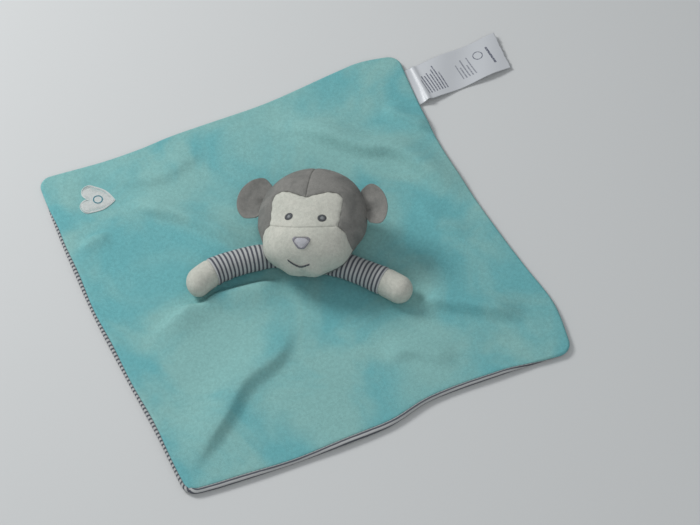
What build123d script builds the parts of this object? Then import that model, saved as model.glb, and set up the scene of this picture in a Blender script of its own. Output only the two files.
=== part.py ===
from build123d import *

import math
import os

# A baby's comforter: a square two-layer blanket with a stuffed monkey's head and arms.
# The blanket lies flat with its sides along X and Y. The origin is the middle of its underside,
# and the monkey lies face up on it, its neck sewn to the middle. Millimetres throughout.

# ---- Blanket ----
BLANKET_SIDE = 300.0
BLANKET_CORNER_RADIUS = 10.0
BACKING_THICKNESS = 1.4
VELOUR_THICKNESS = 2.0
SEAM_INSET = 1.2
SEAM_THREAD = 0.6

# ---- Care label, sewn into the +X side ----
LABEL_LENGTH = 80.0
LABEL_WIDTH = 35.0
LABEL_THICKNESS = 0.4
LABEL_MIDDLE_Y = 118.0
LABEL_TURN = 4.0
LABEL_GAP = 2.0

# ---- Embroidered badge in the -X +Y corner ----
BADGE_INSET_X = 34.0
BADGE_INSET_Y = 38.0
BADGE_WIDTH = 24.0
BADGE_TURN = 65.0
BADGE_RING_RADIUS = 4.0
THREAD_RELIEF = 0.8

# ---- The toy's own directions, seen from above: u to the right, v towards the crown ----
TOY_TURN = -24.5
CLEARANCE = 0.4

# ---- Head: two merged bulges, seen from the face ----
HEAD_PLACE = (9.0, 16.4)
HEAD_LIFT = 1.2
HEAD_TURN = -5.5
HEAD_PITCH = 13.0
HEAD_LOLL = 12.0
CRANIUM = (41.0, 39.0, 27.0)
CRANIUM_CENTRE = (0.0, 3.0, 0.0)
JAW = (34.0, 25.0, 25.0)
JAW_CENTRE = (0.0, -18.0, 5.0)
SKIN_THICKNESS = 1.5
SIDE_SEAM_DEPTH = 2.0
HEAD_STATIONS = 12
HEAD_CLOSING = math.radians(168)

# ---- Face, in the head's own plane ----
MASK_HALF_WIDTH = 27.0
MASK_TOP = 14.0
MASK_DIP = 9.0
MASK_CORNER = 7.0
WAIST_HALF_WIDTH = 26.0
WAIST_V = -12.0
WAIST_SAG = 5.0
MUZZLE_HALF_WIDTH = 34.5
MUZZLE_WIDEST_V = -25.0
FACE_SHIFT = 1.8
EYE_SPACING = 24.8
EYE_V = -7.0
EYE_RADIUS = 3.2
PUPIL_RADIUS = 1.4
NOSE_WIDTH = 13.0
NOSE_HEIGHT = 8.0
NOSE_TOP_V = -24.2
NOSE_BORDER = 1.4
MOUTH_WIDTH = 17.5
MOUTH_SAG = 2.6
MOUTH_V = -38.4
MOUTH_THICKNESS = 1.1

# ---- Neck ----
NECK_RADIUS = 12.0
NECK_FLANGE_THICKNESS = 1.2

# ---- Ears ----
EAR_RADIUS = 15.5
EAR_CENTRE = 4.5
EAR_PANEL_THICKNESS = 1.6
EAR_V = 16.0
EAR_ROOT_GAP = 1.2

# ---- Arms: each follows an arc over the cloth, from the neck outwards ----
ARM_LENGTH = 81.0
ARM_INSET = 3.0
ARM_RADIUS_AT_CREASE = 9.2
ARM_RADIUS_AT_CUFF = 10.2
CUFF_DISTANCE = 58.0
CREASE_GAP = 7.0
CREASE_LEAN = 40.0
CREASE_OVERRUN = 2.0
ROOT_LEAN = 10.0
ROOT_GAP = 2.0
ROOT_THICKNESS = 1.6
ROOT_OUTER_THICKNESS = 4.4
ROOT_HALF_WIDTH = 6.0
ROOT_OUTER_HALF_WIDTH = 8.5
ROOT_EDGE_RADIUS = 0.7
ARM_SKIN = 1.2
ARM_ARCS = {"left": (-1, 4.0, 38.0), "right": (1, 18.0, 14.0)}

os.makedirs("parts", exist_ok=True)

cloth_top = BACKING_THICKNESS + VELOUR_THICKNESS
head_height = CRANIUM[2] + HEAD_LIFT
arm_start = NECK_RADIUS - ARM_INSET
crease_distance = JAW[0] + CREASE_GAP
toy = Plane(origin=(0, 0, cloth_top), z_dir=(0, 0, 1)).rotated((0, 0, TOY_TURN))
head_heading = toy.location * Location((*HEAD_PLACE, head_height), (0, 0, HEAD_TURN))
head = Plane(head_heading * Location((0, 0, 0), (HEAD_PITCH, -HEAD_LOLL, 0)))
neck_top = cloth_top + CLEARANCE + NECK_FLANGE_THICKNESS
head_floor = neck_top + CLEARANCE


def save(piece, name):
    """Name a finished piece and write it to its own file."""
    piece.part.label = name
    export_step(piece.part, f"parts/{name}.step")
    print(f"{name:22s} {len(piece.part.solids())} solid(s) {piece.part.volume:10.1f} mm3")


# ---------------------------------------------------------------- blanket
def seam_line():
    """The square line of stitches just inside the blanket's edge."""
    with BuildPart() as line:
        with BuildSketch(Plane.XY.offset(BACKING_THICKNESS)):
            side = BLANKET_SIDE - 2 * SEAM_INSET
            radius = BLANKET_CORNER_RADIUS - SEAM_INSET
            RectangleRounded(side, side, radius)
            inner_side = side - 2 * SEAM_THREAD
            RectangleRounded(inner_side, inner_side, radius - SEAM_THREAD, mode=Mode.SUBTRACT)
        extrude(amount=SEAM_THREAD)
    return line


with BuildPart() as blanket_backing:
    with BuildSketch():
        RectangleRounded(BLANKET_SIDE, BLANKET_SIDE, BLANKET_CORNER_RADIUS)
    extrude(amount=BACKING_THICKNESS)
save(blanket_backing, "blanket_backing")

edge_seam_thread = seam_line()
save(edge_seam_thread, "edge_seam_thread")

with BuildPart() as blanket_velour:
    with BuildSketch(Plane.XY.offset(BACKING_THICKNESS)):
        RectangleRounded(BLANKET_SIDE, BLANKET_SIDE, BLANKET_CORNER_RADIUS)
    extrude(amount=VELOUR_THICKNESS)
    add(edge_seam_thread.part, mode=Mode.SUBTRACT)
save(blanket_velour, "blanket_velour")

# The badge is a plain heart in satin stitch with a small ring worked on it.
badge_centre = (
    -BLANKET_SIDE / 2 + BADGE_INSET_X,
    BLANKET_SIDE / 2 - BADGE_INSET_Y,
    cloth_top,
)
badge = Plane(origin=badge_centre, z_dir=(0, 0, 1)).rotated((0, 0, BADGE_TURN))
lobe = BADGE_WIDTH / 4
with BuildPart() as badge_heart:
    with BuildSketch(badge):
        with BuildLine():
            ThreePointArc((0, lobe), (lobe, 2 * lobe), (2 * lobe, lobe))
            Spline(
                (2 * lobe, lobe),
                (1.4 * lobe, -0.6 * lobe),
                (0, -2 * lobe),
                tangents=((0, -1), (-1, -0.9)),
            )
            mirror(about=Plane.YZ)
        make_face()
    extrude(amount=THREAD_RELIEF)
save(badge_heart, "badge_heart")

with BuildPart() as badge_ring:
    with BuildSketch(badge.offset(THREAD_RELIEF)):
        Circle(BADGE_RING_RADIUS)
        Circle(BADGE_RING_RADIUS - THREAD_RELIEF, mode=Mode.SUBTRACT)
    extrude(amount=THREAD_RELIEF / 2)
save(badge_ring, "badge_ring")

# ---------------------------------------------------------------- care label
label_root = Vector(BLANKET_SIDE / 2 + LABEL_GAP, LABEL_MIDDLE_Y, cloth_top / 2)
label_plane = Plane(label_root, z_dir=(0, 0, 1)).rotated((0, 0, LABEL_TURN))
with BuildPart() as care_label:
    with BuildSketch(label_plane):
        with BuildLine():
            lean = math.tan(math.radians(LABEL_TURN)) * LABEL_WIDTH / 2
            Polyline(
                (lean, LABEL_WIDTH / 2),
                (LABEL_LENGTH, LABEL_WIDTH / 2),
                (LABEL_LENGTH, -LABEL_WIDTH / 2),
                (-lean, -LABEL_WIDTH / 2),
                close=True,
            )
        make_face()
    extrude(amount=LABEL_THICKNESS / 2, both=True)
save(care_label, "care_label")

# ---------------------------------------------------------------- neck
with BuildPart() as neck_flange:
    with BuildSketch(Plane.XY.offset(cloth_top + CLEARANCE)):
        Circle(NECK_RADIUS)
    extrude(amount=NECK_FLANGE_THICKNESS)
save(neck_flange, "neck_flange")


# ---------------------------------------------------------------- head
def head_section(v, growth):
    """Half width, front depth and back depth of the head where a plane crosses it at v."""
    half_width = front = back = 0.0
    for centre, semi_axes in ((CRANIUM_CENTRE, CRANIUM), (JAW_CENTRE, JAW)):
        share = 1 - ((v - centre[1]) / (semi_axes[1] + growth)) ** 2
        if share > 0:
            half_width = max(half_width, (semi_axes[0] + growth) * math.sqrt(share))
            depth = (semi_axes[2] + growth) * math.sqrt(share)
            front = max(front, depth + centre[2])
            back = max(back, depth - centre[2])
    return half_width, front, back


def head_form(growth):
    """The head's whole form, in its place, grown all round by an amount."""
    top = CRANIUM_CENTRE[1] + CRANIUM[1] + growth
    bottom = JAW_CENTRE[1] - JAW[1] - growth
    with BuildPart() as form:
        for step in range(HEAD_STATIONS + 1):
            # Closer together towards the crown and the chin, where the form closes.
            share = math.sin(HEAD_CLOSING * (step / HEAD_STATIONS - 0.5))
            v = (top + bottom) / 2 + (top - bottom) / 2 * share
            half_width, front, back = head_section(v, growth)
            station = head.location * Location((0, v, (front - back) / 2), (90, 0, 0))
            with BuildSketch(Plane(station)):
                Ellipse(half_width, (front + back) / 2)
        loft()
        split(bisect_by=Plane.XY.offset(head_floor - min(growth, 0)), keep=Keep.TOP)
    return form.part


head_outer = head_form(0)
head_inner = head_form(-SKIN_THICKNESS)
embroidery_outer = head_form(THREAD_RELIEF)
HEAD_REACH = 2 * max(CRANIUM)
side_seam = head.offset(-SIDE_SEAM_DEPTH)


def half_space(side_of_u, side_of_w):
    """A block that holds one quarter of the head: left or right, front or back."""
    with BuildPart() as block:
        with BuildSketch(side_seam):
            with Locations((side_of_u * HEAD_REACH / 2, 0)):
                Rectangle(HEAD_REACH, 2 * HEAD_REACH)
        extrude(amount=side_of_w * HEAD_REACH)
    return block.part


def pattern_column(*half_edges):
    """A block over a mirrored outline on the head's plane, reaching out past the face."""
    with BuildPart() as column:
        with BuildSketch(side_seam):
            with BuildLine():
                for edge in half_edges:
                    edge()
                mirror(about=Plane.YZ)
            make_face()
        extrude(amount=HEAD_REACH)
    return column.part


def waist_arc():
    """Half of the seam across the face, below the eyes."""
    middle = (WAIST_HALF_WIDTH / 2, WAIST_V - WAIST_SAG * 0.75)
    ThreePointArc((0, WAIST_V - WAIST_SAG), middle, (WAIST_HALF_WIDTH, WAIST_V))


def mask_edge():
    """Half of the upper face's edge: a straight side, a rounded corner, a dip in the brow."""
    Line((WAIST_HALF_WIDTH, WAIST_V), (MASK_HALF_WIDTH, MASK_TOP - MASK_CORNER))
    Spline(
        (MASK_HALF_WIDTH, MASK_TOP - MASK_CORNER),
        (MASK_HALF_WIDTH * 0.88, MASK_TOP - 1),
        (MASK_HALF_WIDTH * 0.55, MASK_TOP),
        (0, MASK_DIP),
        tangents=((0, 1), (-1, -0.2)),
    )


def muzzle_edge():
    """Half of the muzzle's edge: wider than the waist above it, and on past the chin."""
    Spline(
        (WAIST_HALF_WIDTH, WAIST_V),
        (MUZZLE_HALF_WIDTH, MUZZLE_WIDEST_V),
        tangents=((1, -0.6), (0, -1)),
    )
    Line((MUZZLE_HALF_WIDTH, MUZZLE_WIDEST_V), (MUZZLE_HALF_WIDTH, -HEAD_REACH))
    Line((MUZZLE_HALF_WIDTH, -HEAD_REACH), (0, -HEAD_REACH))


mask_column = pattern_column(waist_arc, mask_edge)
muzzle_column = pattern_column(waist_arc, muzzle_edge)
face_column = pattern_column(mask_edge, muzzle_edge)

with BuildPart() as head_stuffing:
    add(head_inner)
save(head_stuffing, "head_stuffing")

for side_name, side in (("left", -1), ("right", 1)):
    with BuildPart() as crown:
        add(head_outer)
        add(head_inner, mode=Mode.SUBTRACT)
        add(half_space(side, 1), mode=Mode.INTERSECT)
        add(face_column, mode=Mode.SUBTRACT)
    save(crown, f"crown_{side_name}")

    with BuildPart() as head_back:
        add(head_outer)
        add(head_inner, mode=Mode.SUBTRACT)
        add(half_space(side, -1), mode=Mode.INTERSECT)
    save(head_back, f"head_back_{side_name}")

for panel_name, column in (("face_mask", mask_column), ("muzzle", muzzle_column)):
    with BuildPart() as panel:
        add(head_outer)
        add(head_inner, mode=Mode.SUBTRACT)
        add(column, mode=Mode.INTERSECT)
    save(panel, panel_name)


# ---------------------------------------------------------------- embroidery on the face
def embroider(sketch):
    """A patch of raised stitches where a sketch on the head's plane meets the face."""
    with BuildPart() as patch:
        extrude(sketch, amount=HEAD_REACH)
        add(embroidery_outer, mode=Mode.INTERSECT)
        add(head_outer, mode=Mode.SUBTRACT)
    return patch


for side_name, side in (("left", -1), ("right", 1)):
    eye_place = (FACE_SHIFT + side * EYE_SPACING / 2, EYE_V)
    with BuildSketch(head) as iris:
        with Locations(eye_place):
            Circle(EYE_RADIUS)
            Circle(PUPIL_RADIUS, mode=Mode.SUBTRACT)
    save(embroider(iris.sketch), f"eye_{side_name}")

    with BuildSketch(head) as glint:
        with Locations(eye_place):
            Circle(PUPIL_RADIUS)
    save(embroider(glint.sketch), f"eye_glint_{side_name}")


def nose_outline(shrink):
    """The nose: flat on top, rounded and narrowing below."""
    half = NOSE_WIDTH / 2 - shrink
    top = NOSE_TOP_V - shrink
    bottom = NOSE_TOP_V - NOSE_HEIGHT + shrink
    Line((FACE_SHIFT, top), (FACE_SHIFT + half * 0.7, top))
    Spline(
        (FACE_SHIFT + half * 0.7, top),
        (FACE_SHIFT + half, (2 * top + bottom) / 3),
        (FACE_SHIFT, bottom),
        tangents=((1, 0), (-1, 0)),
    )
    mirror(about=Plane.YZ.offset(FACE_SHIFT))


with BuildSketch(head) as nose_fill_shape:
    with BuildLine():
        nose_outline(NOSE_BORDER)
    make_face()
save(embroider(nose_fill_shape.sketch), "nose_fill")

with BuildSketch(head) as nose_border_shape:
    with BuildLine():
        nose_outline(0)
    make_face()
    with BuildLine():
        nose_outline(NOSE_BORDER)
    make_face(mode=Mode.SUBTRACT)
save(embroider(nose_border_shape.sketch), "nose_border")

with BuildSketch(head) as mouth_shape:
    with BuildLine():
        ThreePointArc(
            (-MOUTH_WIDTH / 2, MOUTH_V),
            (0, MOUTH_V - MOUTH_SAG),
            (MOUTH_WIDTH / 2, MOUTH_V),
        )
    trace(line_width=MOUTH_THICKNESS)
save(embroider(mouth_shape.sketch), "mouth")

# ---------------------------------------------------------------- ears
ear_hinges = {}
for side_name, side in (("left", -1), ("right", 1)):
    # The ear's root lies just outside the head's side seam, square to the form there.
    height = EAR_V - CRANIUM_CENTRE[1]
    reach = CRANIUM[0] * math.sqrt(1 - (height / CRANIUM[1]) ** 2)
    outward = Vector(side * reach / CRANIUM[0] ** 2, height / CRANIUM[1] ** 2, 0).normalized()
    root = Vector(side * reach, EAR_V, 0) + outward * CLEARANCE
    ear_plane = Plane(
        head.from_local_coords(root),
        x_dir=head.from_local_coords(outward) - head.origin,
        z_dir=head.z_dir,
    )
    ear_hinges[side_name] = ear_plane
    for layer, depth in (("front", EAR_PANEL_THICKNESS), ("back", -EAR_PANEL_THICKNESS)):
        with BuildPart() as ear:
            with BuildSketch(ear_plane):
                with Locations((EAR_CENTRE, 0)):
                    Circle(EAR_RADIUS)
                with Locations((EAR_ROOT_GAP, 0)):
                    Rectangle(
                        2 * EAR_RADIUS,
                        2 * EAR_RADIUS,
                        align=(Align.MIN, Align.CENTER),
                        mode=Mode.INTERSECT,
                    )
            extrude(amount=depth)
        save(ear, f"ear_{side_name}_{layer}")


# ---------------------------------------------------------------- arms
def arm_station(side, start_angle, turn, distance, height):
    """The plane square to the arm at a distance along its arc, at a height over the cloth."""
    steps = 60
    u, v = arm_start, 0.0
    for step in range(steps):
        angle = math.radians(start_angle + turn * (step + 0.5) / steps * distance / ARM_LENGTH)
        u += math.cos(angle) * distance / steps
        v -= math.sin(angle) * distance / steps
    angle = math.radians(start_angle + turn * distance / ARM_LENGTH)
    heading = Vector(side * math.cos(angle), -math.sin(angle), 0)
    return Plane(
        toy.from_local_coords(Vector(side * u, v, CLEARANCE + height)),
        x_dir=toy.from_local_coords(Vector(-heading.Y, heading.X, 0)) - toy.origin,
        z_dir=toy.from_local_coords(heading) - toy.origin,
    )


def arm_radius(distance):
    """The stuffed arm's radius, which grows evenly towards the cuff."""
    share = (distance - crease_distance) / (CUFF_DISTANCE - crease_distance)
    radius = ARM_RADIUS_AT_CREASE + share * (ARM_RADIUS_AT_CUFF - ARM_RADIUS_AT_CREASE)
    return min(radius, ARM_RADIUS_AT_CUFF)


def crease_plane(arc, distance, lean):
    """The end of a stretch of the arm, leaning outwards from the cloth by an angle."""
    return Plane(arm_station(*arc, distance, 0).location * Location((0, 0, 0), (lean, 0, 0)))


def arm_form(arc, shrink):
    """The stuffed arm and hand, in place, shrunk all round by an amount."""
    hand_centre = ARM_LENGTH - ARM_RADIUS_AT_CUFF
    start = crease_distance - CREASE_OVERRUN
    with BuildPart() as form:
        for distance in (start, (start + CUFF_DISTANCE) / 2, CUFF_DISTANCE, hand_centre):
            radius = arm_radius(distance)
            with BuildSketch(arm_station(*arc, distance, radius)):
                Circle(radius - shrink)
        loft()
        tip = arm_station(*arc, hand_centre, ARM_RADIUS_AT_CUFF)
        with Locations(tip.origin):
            Sphere(ARM_RADIUS_AT_CUFF - shrink)
        split(bisect_by=crease_plane(arc, crease_distance, CREASE_LEAN), keep=Keep.TOP)
    return form.part


arm_hinges = {}
for side_name, arc in ARM_ARCS.items():
    outer = arm_form(arc, 0)
    inner = arm_form(arc, ARM_SKIN)
    cuff_plane = arm_station(*arc, CUFF_DISTANCE, 0)
    arm_hinges[side_name] = arm_station(*arc, crease_distance, 0)

    with BuildPart() as arm_stuffing:
        add(inner)
    save(arm_stuffing, f"arm_stuffing_{side_name}")

    for piece_name, keep in (("sleeve", Keep.BOTTOM), ("hand", Keep.TOP)):
        with BuildPart() as arm_skin:
            add(outer)
            add(inner, mode=Mode.SUBTRACT)
            split(bisect_by=cuff_plane, keep=keep)
        save(arm_skin, f"{piece_name}_{side_name}")

    # The sleeve's root has no stuffing: it is pressed flat and caught in the neck seam.
    with BuildPart() as sleeve_root:
        for distance, half_width, thickness in (
            (ARM_INSET + ROOT_GAP, ROOT_HALF_WIDTH, ROOT_THICKNESS),
            (crease_distance, ROOT_OUTER_HALF_WIDTH, ROOT_OUTER_THICKNESS),
        ):
            with BuildSketch(arm_station(*arc, distance, thickness / 2)):
                RectangleRounded(2 * half_width, thickness, ROOT_EDGE_RADIUS)
        loft()
        crease = crease_plane(arc, crease_distance - CLEARANCE, -ROOT_LEAN)
        split(bisect_by=crease, keep=Keep.BOTTOM)
    save(sleeve_root, f"sleeve_root_{side_name}")


# ---------------------------------------------------------------- where the hinges are
def tell_hinge(name, place, axis):
    """Print a hinge's place in metres and its axis."""
    place = ", ".join(f"{value / 1000:.6f}" for value in place)
    axis = ", ".join(f"{value:.6f}" for value in axis)
    print(f"hinge {name}: at [{place}] about [{axis}]")


nod_place = toy.from_local_coords(Vector(0, -NECK_RADIUS, neck_top - cloth_top))
tell_hinge("head_nod", nod_place, toy.x_dir)
tell_hinge("neck_swivel", toy.origin, toy.z_dir)
tell_hinge("label_flip", label_root, Vector(0, -1, 0))
for side_name, ear_plane in ear_hinges.items():
    tell_hinge(f"ear_{side_name}_flex", ear_plane.origin, -ear_plane.y_dir)
for side_name, station in arm_hinges.items():
    tell_hinge(f"arm_{side_name}_lift", station.origin, station.z_dir.cross(Vector(0, 0, 1)))
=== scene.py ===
# %% [markdown]
# # A comforter with a stuffed monkey's head
# The object is a square two-layer blanket for a baby. A small stuffed monkey's head and two
# stuffed arms are sewn to its middle. Everything on it is cloth, thread or fibre, so this lesson
# is about soft things: sheets that lie in folds, skins that are pushed out by stuffing, seams
# that pull in, and rows of stitches. The CAD model gives every size and place.

# %% Load the frame
import math

import bmesh
import bpy
import numpy as np
from mathutils import Matrix, Vector
from mathutils.bvhtree import BVHTree


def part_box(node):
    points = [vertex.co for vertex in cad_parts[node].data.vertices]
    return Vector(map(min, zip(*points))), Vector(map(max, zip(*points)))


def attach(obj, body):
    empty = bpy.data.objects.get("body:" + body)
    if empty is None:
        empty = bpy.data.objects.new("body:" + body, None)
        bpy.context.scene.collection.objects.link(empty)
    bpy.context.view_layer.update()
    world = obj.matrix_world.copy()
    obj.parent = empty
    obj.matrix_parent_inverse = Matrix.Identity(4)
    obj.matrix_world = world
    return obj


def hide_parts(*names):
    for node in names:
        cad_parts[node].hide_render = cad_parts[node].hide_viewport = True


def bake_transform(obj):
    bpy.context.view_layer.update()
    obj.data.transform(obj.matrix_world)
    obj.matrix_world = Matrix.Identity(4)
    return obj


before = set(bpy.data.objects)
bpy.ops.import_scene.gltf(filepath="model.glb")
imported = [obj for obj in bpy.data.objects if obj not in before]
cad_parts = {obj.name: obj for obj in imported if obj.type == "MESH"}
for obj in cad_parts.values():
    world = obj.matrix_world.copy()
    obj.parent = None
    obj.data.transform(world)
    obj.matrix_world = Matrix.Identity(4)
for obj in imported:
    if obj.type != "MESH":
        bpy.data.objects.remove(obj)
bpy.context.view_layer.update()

MM = 0.001

# %% [markdown]
# ## A few helpers
# Blender's operators act on all that is selected, so one helper selects a single piece. The
# others read and move a mesh's points all at once, which is how a soft shape is pushed about
# when there are thousands of points and no hand to move them.


# %% Helpers for selecting, applying and moving points
def pick(piece):
    """Make this the only selected piece."""
    bpy.ops.object.select_all(action="DESELECT")
    piece.select_set(True)
    bpy.context.view_layer.objects.active = piece


def apply_modifiers(piece):
    """Apply every modifier, in order."""
    pick(piece)
    for modifier in list(piece.modifiers):
        bpy.ops.object.modifier_apply(modifier=modifier.name)


def points_of(piece):
    """The mesh's points as rows of x, y, z."""
    flat = np.empty(len(piece.data.vertices) * 3)
    piece.data.vertices.foreach_get("co", flat)
    return flat.reshape(-1, 3)


def place_points(piece, points):
    """Put the mesh's points at these rows of x, y, z."""
    piece.data.vertices.foreach_set("co", np.asarray(points, float).ravel())
    piece.data.update()


def ease(value, start, end):
    """0 before start, 1 after end, and a smooth climb between them."""
    share = np.clip((np.asarray(value, float) - start) / (end - start), 0, 1)
    return share * share * (3 - 2 * share)


def flowing(points, steps=12):
    """A smooth line through a few given points: a Catmull-Rom spline."""
    p = np.asarray(points, float)
    p = np.vstack([2 * p[0] - p[1], p, 2 * p[-1] - p[-2]])
    line = []
    for i in range(1, len(p) - 2):
        for share in np.arange(steps) / steps:
            a, b, c, d = p[i - 1], p[i], p[i + 1], p[i + 2]
            bend = 2 * b + (c - a) * share + (2 * a - 5 * b + 4 * c - d) * share**2
            line.append((bend + (3 * b - a - 3 * c + d) * share**3) / 2)
    return np.array(line + [p[-2]])


print("helpers ready")

# %% [markdown]
# ## Camera
# A long lens from well above shows the whole square with little perspective. The camera leans
# by about a degree, as a hand-held one does.

# %% Camera
CAMERA_AZIMUTH = math.radians(-24.5)
CAMERA_ELEVATION = math.radians(54.9)
CAMERA_ROLL = math.radians(1.1)
CAMERA_DISTANCE = 2.215
CAMERA_AIM = Vector((0.0352, -0.0122, 0.0))

level = math.cos(CAMERA_ELEVATION)
outward = Vector(
    (
        math.sin(CAMERA_AZIMUTH) * level,
        -math.cos(CAMERA_AZIMUTH) * level,
        math.sin(CAMERA_ELEVATION),
    )
)
bpy.ops.object.camera_add(location=CAMERA_AIM + outward * CAMERA_DISTANCE)
camera = bpy.context.object
camera.name = "camera"
camera.rotation_mode = "QUATERNION"
level_view = outward.to_track_quat("Z", "Y")
camera.rotation_quaternion = level_view @ Matrix.Rotation(CAMERA_ROLL, 4, "Z").to_quaternion()
camera.data.sensor_width = 36.0
camera.data.lens = 154.3
bpy.context.scene.camera = camera
print("camera at", [round(value, 3) for value in camera.location])

# %% [markdown]
# ## Light and floor
# One soft light stands beyond the toy, to its left, so that folds and ears shade their near
# sides. A second fills from the camera's side, and a pale world keeps the shadows open.

# %% Light and floor
FLOOR_SIZE = 6.0
FLOOR_DROP = 0.2 * MM


def paint(red, green, blue):
    """A paint-card colour, 0 to 255, as the linear colour that a shader wants."""
    share = [value / 255 for value in (red, green, blue)]
    return tuple(v / 12.92 if v < 0.04 else ((v + 0.055) / 1.055) ** 2.4 for v in share) + (1.0,)


def soft_light(name, place, size, power):
    """A square light that looks at the toy."""
    bpy.ops.object.light_add(type="AREA", location=place)
    lamp = bpy.context.object
    lamp.name = name
    lamp.data.size = size
    lamp.data.energy = power
    lamp.rotation_mode = "QUATERNION"
    lamp.rotation_quaternion = (Vector(place) - CAMERA_AIM).to_track_quat("Z", "Y")


soft_light("key_light", (-0.6, 0.85, 0.95), 0.45, 12.5)
soft_light("fill_light", (-0.35, -1.1, 1.5), 0.9, 7.0)
world = bpy.data.worlds.new("studio")
world.use_nodes = True
world.node_tree.nodes["Background"].inputs["Color"].default_value = paint(236, 240, 244)
world.node_tree.nodes["Background"].inputs["Strength"].default_value = 0.36
bpy.context.scene.world = world
bpy.context.scene.view_settings.view_transform = "Standard"

bpy.ops.mesh.primitive_plane_add(size=FLOOR_SIZE, location=(0, 0, -FLOOR_DROP))
floor = bpy.context.object
floor.name = "floor"
bpy.ops.object.transform_apply(location=True)
floor_finish = bpy.data.materials.new("floor_paper")
floor_finish.use_nodes = True
floor_shader = floor_finish.node_tree.nodes["Principled BSDF"]
floor_shader.inputs["Base Color"].default_value = paint(206, 208, 208)
floor_shader.inputs["Roughness"].default_value = 0.9
floor.data.materials.append(floor_finish)

# %% [markdown]
# ## Finishes: a node helper
# Every finish here is drawn by nodes. A few short helpers keep the wiring readable: one adds a
# node and sets its inputs, the others are the sums that nearly every cloth needs.


# %% Node helpers
def add_node(tree, kind, **settings):
    """A new node. Settings are its properties."""
    node = tree.nodes.new(kind)
    for key, value in settings.items():
        setattr(node, key, value)
    return node


def feed(tree, source, target):
    """A link, or a plain number where there is no socket to link."""
    if isinstance(source, bpy.types.NodeSocket):
        tree.links.new(source, target)
    else:
        target.default_value = source


def sum_node(tree, operation, a, b=0.0, clamp=False):
    """One arithmetic step."""
    node = add_node(tree, "ShaderNodeMath", operation=operation, use_clamp=clamp)
    feed(tree, a, node.inputs[0])
    feed(tree, b, node.inputs[1])
    return node.outputs[0]


def noise(tree, where, scale, detail=2.0, distortion=0.0):
    """A cloudy pattern from 0 to 1."""
    node = add_node(tree, "ShaderNodeTexNoise")
    feed(tree, where, node.inputs["Vector"])
    feed(tree, scale, node.inputs["Scale"])
    node.inputs["Detail"].default_value = detail
    node.inputs["Distortion"].default_value = distortion
    return node.outputs["Fac"]


def stretch(tree, value, low, high):
    """Spread the stretch from low to high over 0 to 1, smoothly."""
    node = add_node(tree, "ShaderNodeMapRange", interpolation_type="SMOOTHSTEP")
    feed(tree, value, node.inputs["Value"])
    node.inputs["From Min"].default_value = low
    node.inputs["From Max"].default_value = high
    return node.outputs["Result"]


def blend_colours(tree, share, a, b):
    """Colour a at share 0 and colour b at share 1."""
    node = add_node(tree, "ShaderNodeMix", data_type="RGBA")
    feed(tree, share, node.inputs[0])
    feed(tree, a, node.inputs[6])
    feed(tree, b, node.inputs[7])
    return node.outputs[2]


def shade_colour(tree, colour, share, low, high):
    """The colour made darker or lighter: times low at share 0 and times high at share 1."""
    span = sum_node(tree, "MULTIPLY", share, high - low)
    factor = sum_node(tree, "ADD", span, low)
    node = add_node(tree, "ShaderNodeVectorMath", operation="SCALE")
    feed(tree, colour, node.inputs[0])
    feed(tree, factor, node.inputs["Scale"])
    return node.outputs[0]


def new_group(name, inputs, outputs):
    """An empty node group with named sockets: returns its tree, its inputs and its output node."""
    tree = bpy.data.node_groups.new(name, "ShaderNodeTree")
    for label, kind, value in inputs:
        socket = tree.interface.new_socket(label, in_out="INPUT", socket_type=kind)
        socket.default_value = value
    for label, kind in outputs:
        tree.interface.new_socket(label, in_out="OUTPUT", socket_type=kind)
    start = tree.nodes.new("NodeGroupInput")
    end = tree.nodes.new("NodeGroupOutput")
    return tree, start.outputs, end.inputs


COLOUR = "NodeSocketColor"
NUMBER = "NodeSocketFloat"
print("node helpers ready")

# %% [markdown]
# ## Velour
# Velour is a knit with a short cut pile. Fingers brush the pile this way and that, so the same
# dye catches the light more in one patch and less in the next: the group paints this sheen into
# the colour as paler and deeper patches. Close up, the tips of the pile make a fine grain. The
# group draws both, and gives back a colour and a height for the bump.

# %% Velour pile group
velour_group, given, result = new_group(
    "velour_pile",
    [
        ("Colour", COLOUR, (0.5, 0.5, 0.5, 1)),
        ("Sheen patch colour", COLOUR, (0.4, 0.4, 0.4, 1)),
        ("Patch scale", NUMBER, 22.0),
        ("Patch share", NUMBER, 0.8),
    ],
    [("Colour", COLOUR), ("Height", NUMBER)],
)
where = add_node(velour_group, "ShaderNodeTexCoord").outputs["Object"]
patches = noise(velour_group, where, given["Patch scale"], 3.0, 0.6)
patches = stretch(velour_group, patches, 0.38, 0.66)
patches = sum_node(velour_group, "MULTIPLY", patches, given["Patch share"])
tufts = noise(velour_group, where, 420.0, 2.0, 0.4)
grain = noise(velour_group, where, 2400.0, 1.0)
# Painted sheen: patches of the same dye drawn deeper, where the pile catches less light.
pile_colour = blend_colours(velour_group, patches, given["Colour"], given["Sheen patch colour"])
pile_colour = shade_colour(velour_group, pile_colour, stretch(velour_group, tufts, 0.3, 0.7), 0.94, 1.05)
pile_colour = shade_colour(velour_group, pile_colour, stretch(velour_group, grain, 0.25, 0.75), 0.88, 1.1)
velour_group.links.new(pile_colour, result["Colour"])
pile_height = sum_node(velour_group, "MULTIPLY", tufts, 0.8)
pile_height = sum_node(velour_group, "ADD", pile_height, grain)
velour_group.links.new(pile_height, result["Height"])
print("group", velour_group.name, len(velour_group.nodes), "nodes")


# %% Velour finishes
def new_finish(name, roughness, sheen=0.0, sheen_tint=(1, 1, 1, 1)):
    """A material, its tree and its shader. Plain values go straight on the shader."""
    finish = bpy.data.materials.new(name)
    finish.use_nodes = True
    shader = finish.node_tree.nodes["Principled BSDF"]
    shader.inputs["Roughness"].default_value = roughness
    shader.inputs["Sheen Weight"].default_value = sheen
    shader.inputs["Sheen Roughness"].default_value = 0.35
    shader.inputs["Sheen Tint"].default_value = sheen_tint
    shader.inputs["Specular IOR Level"].default_value = 0.15
    return finish, finish.node_tree, shader


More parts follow.
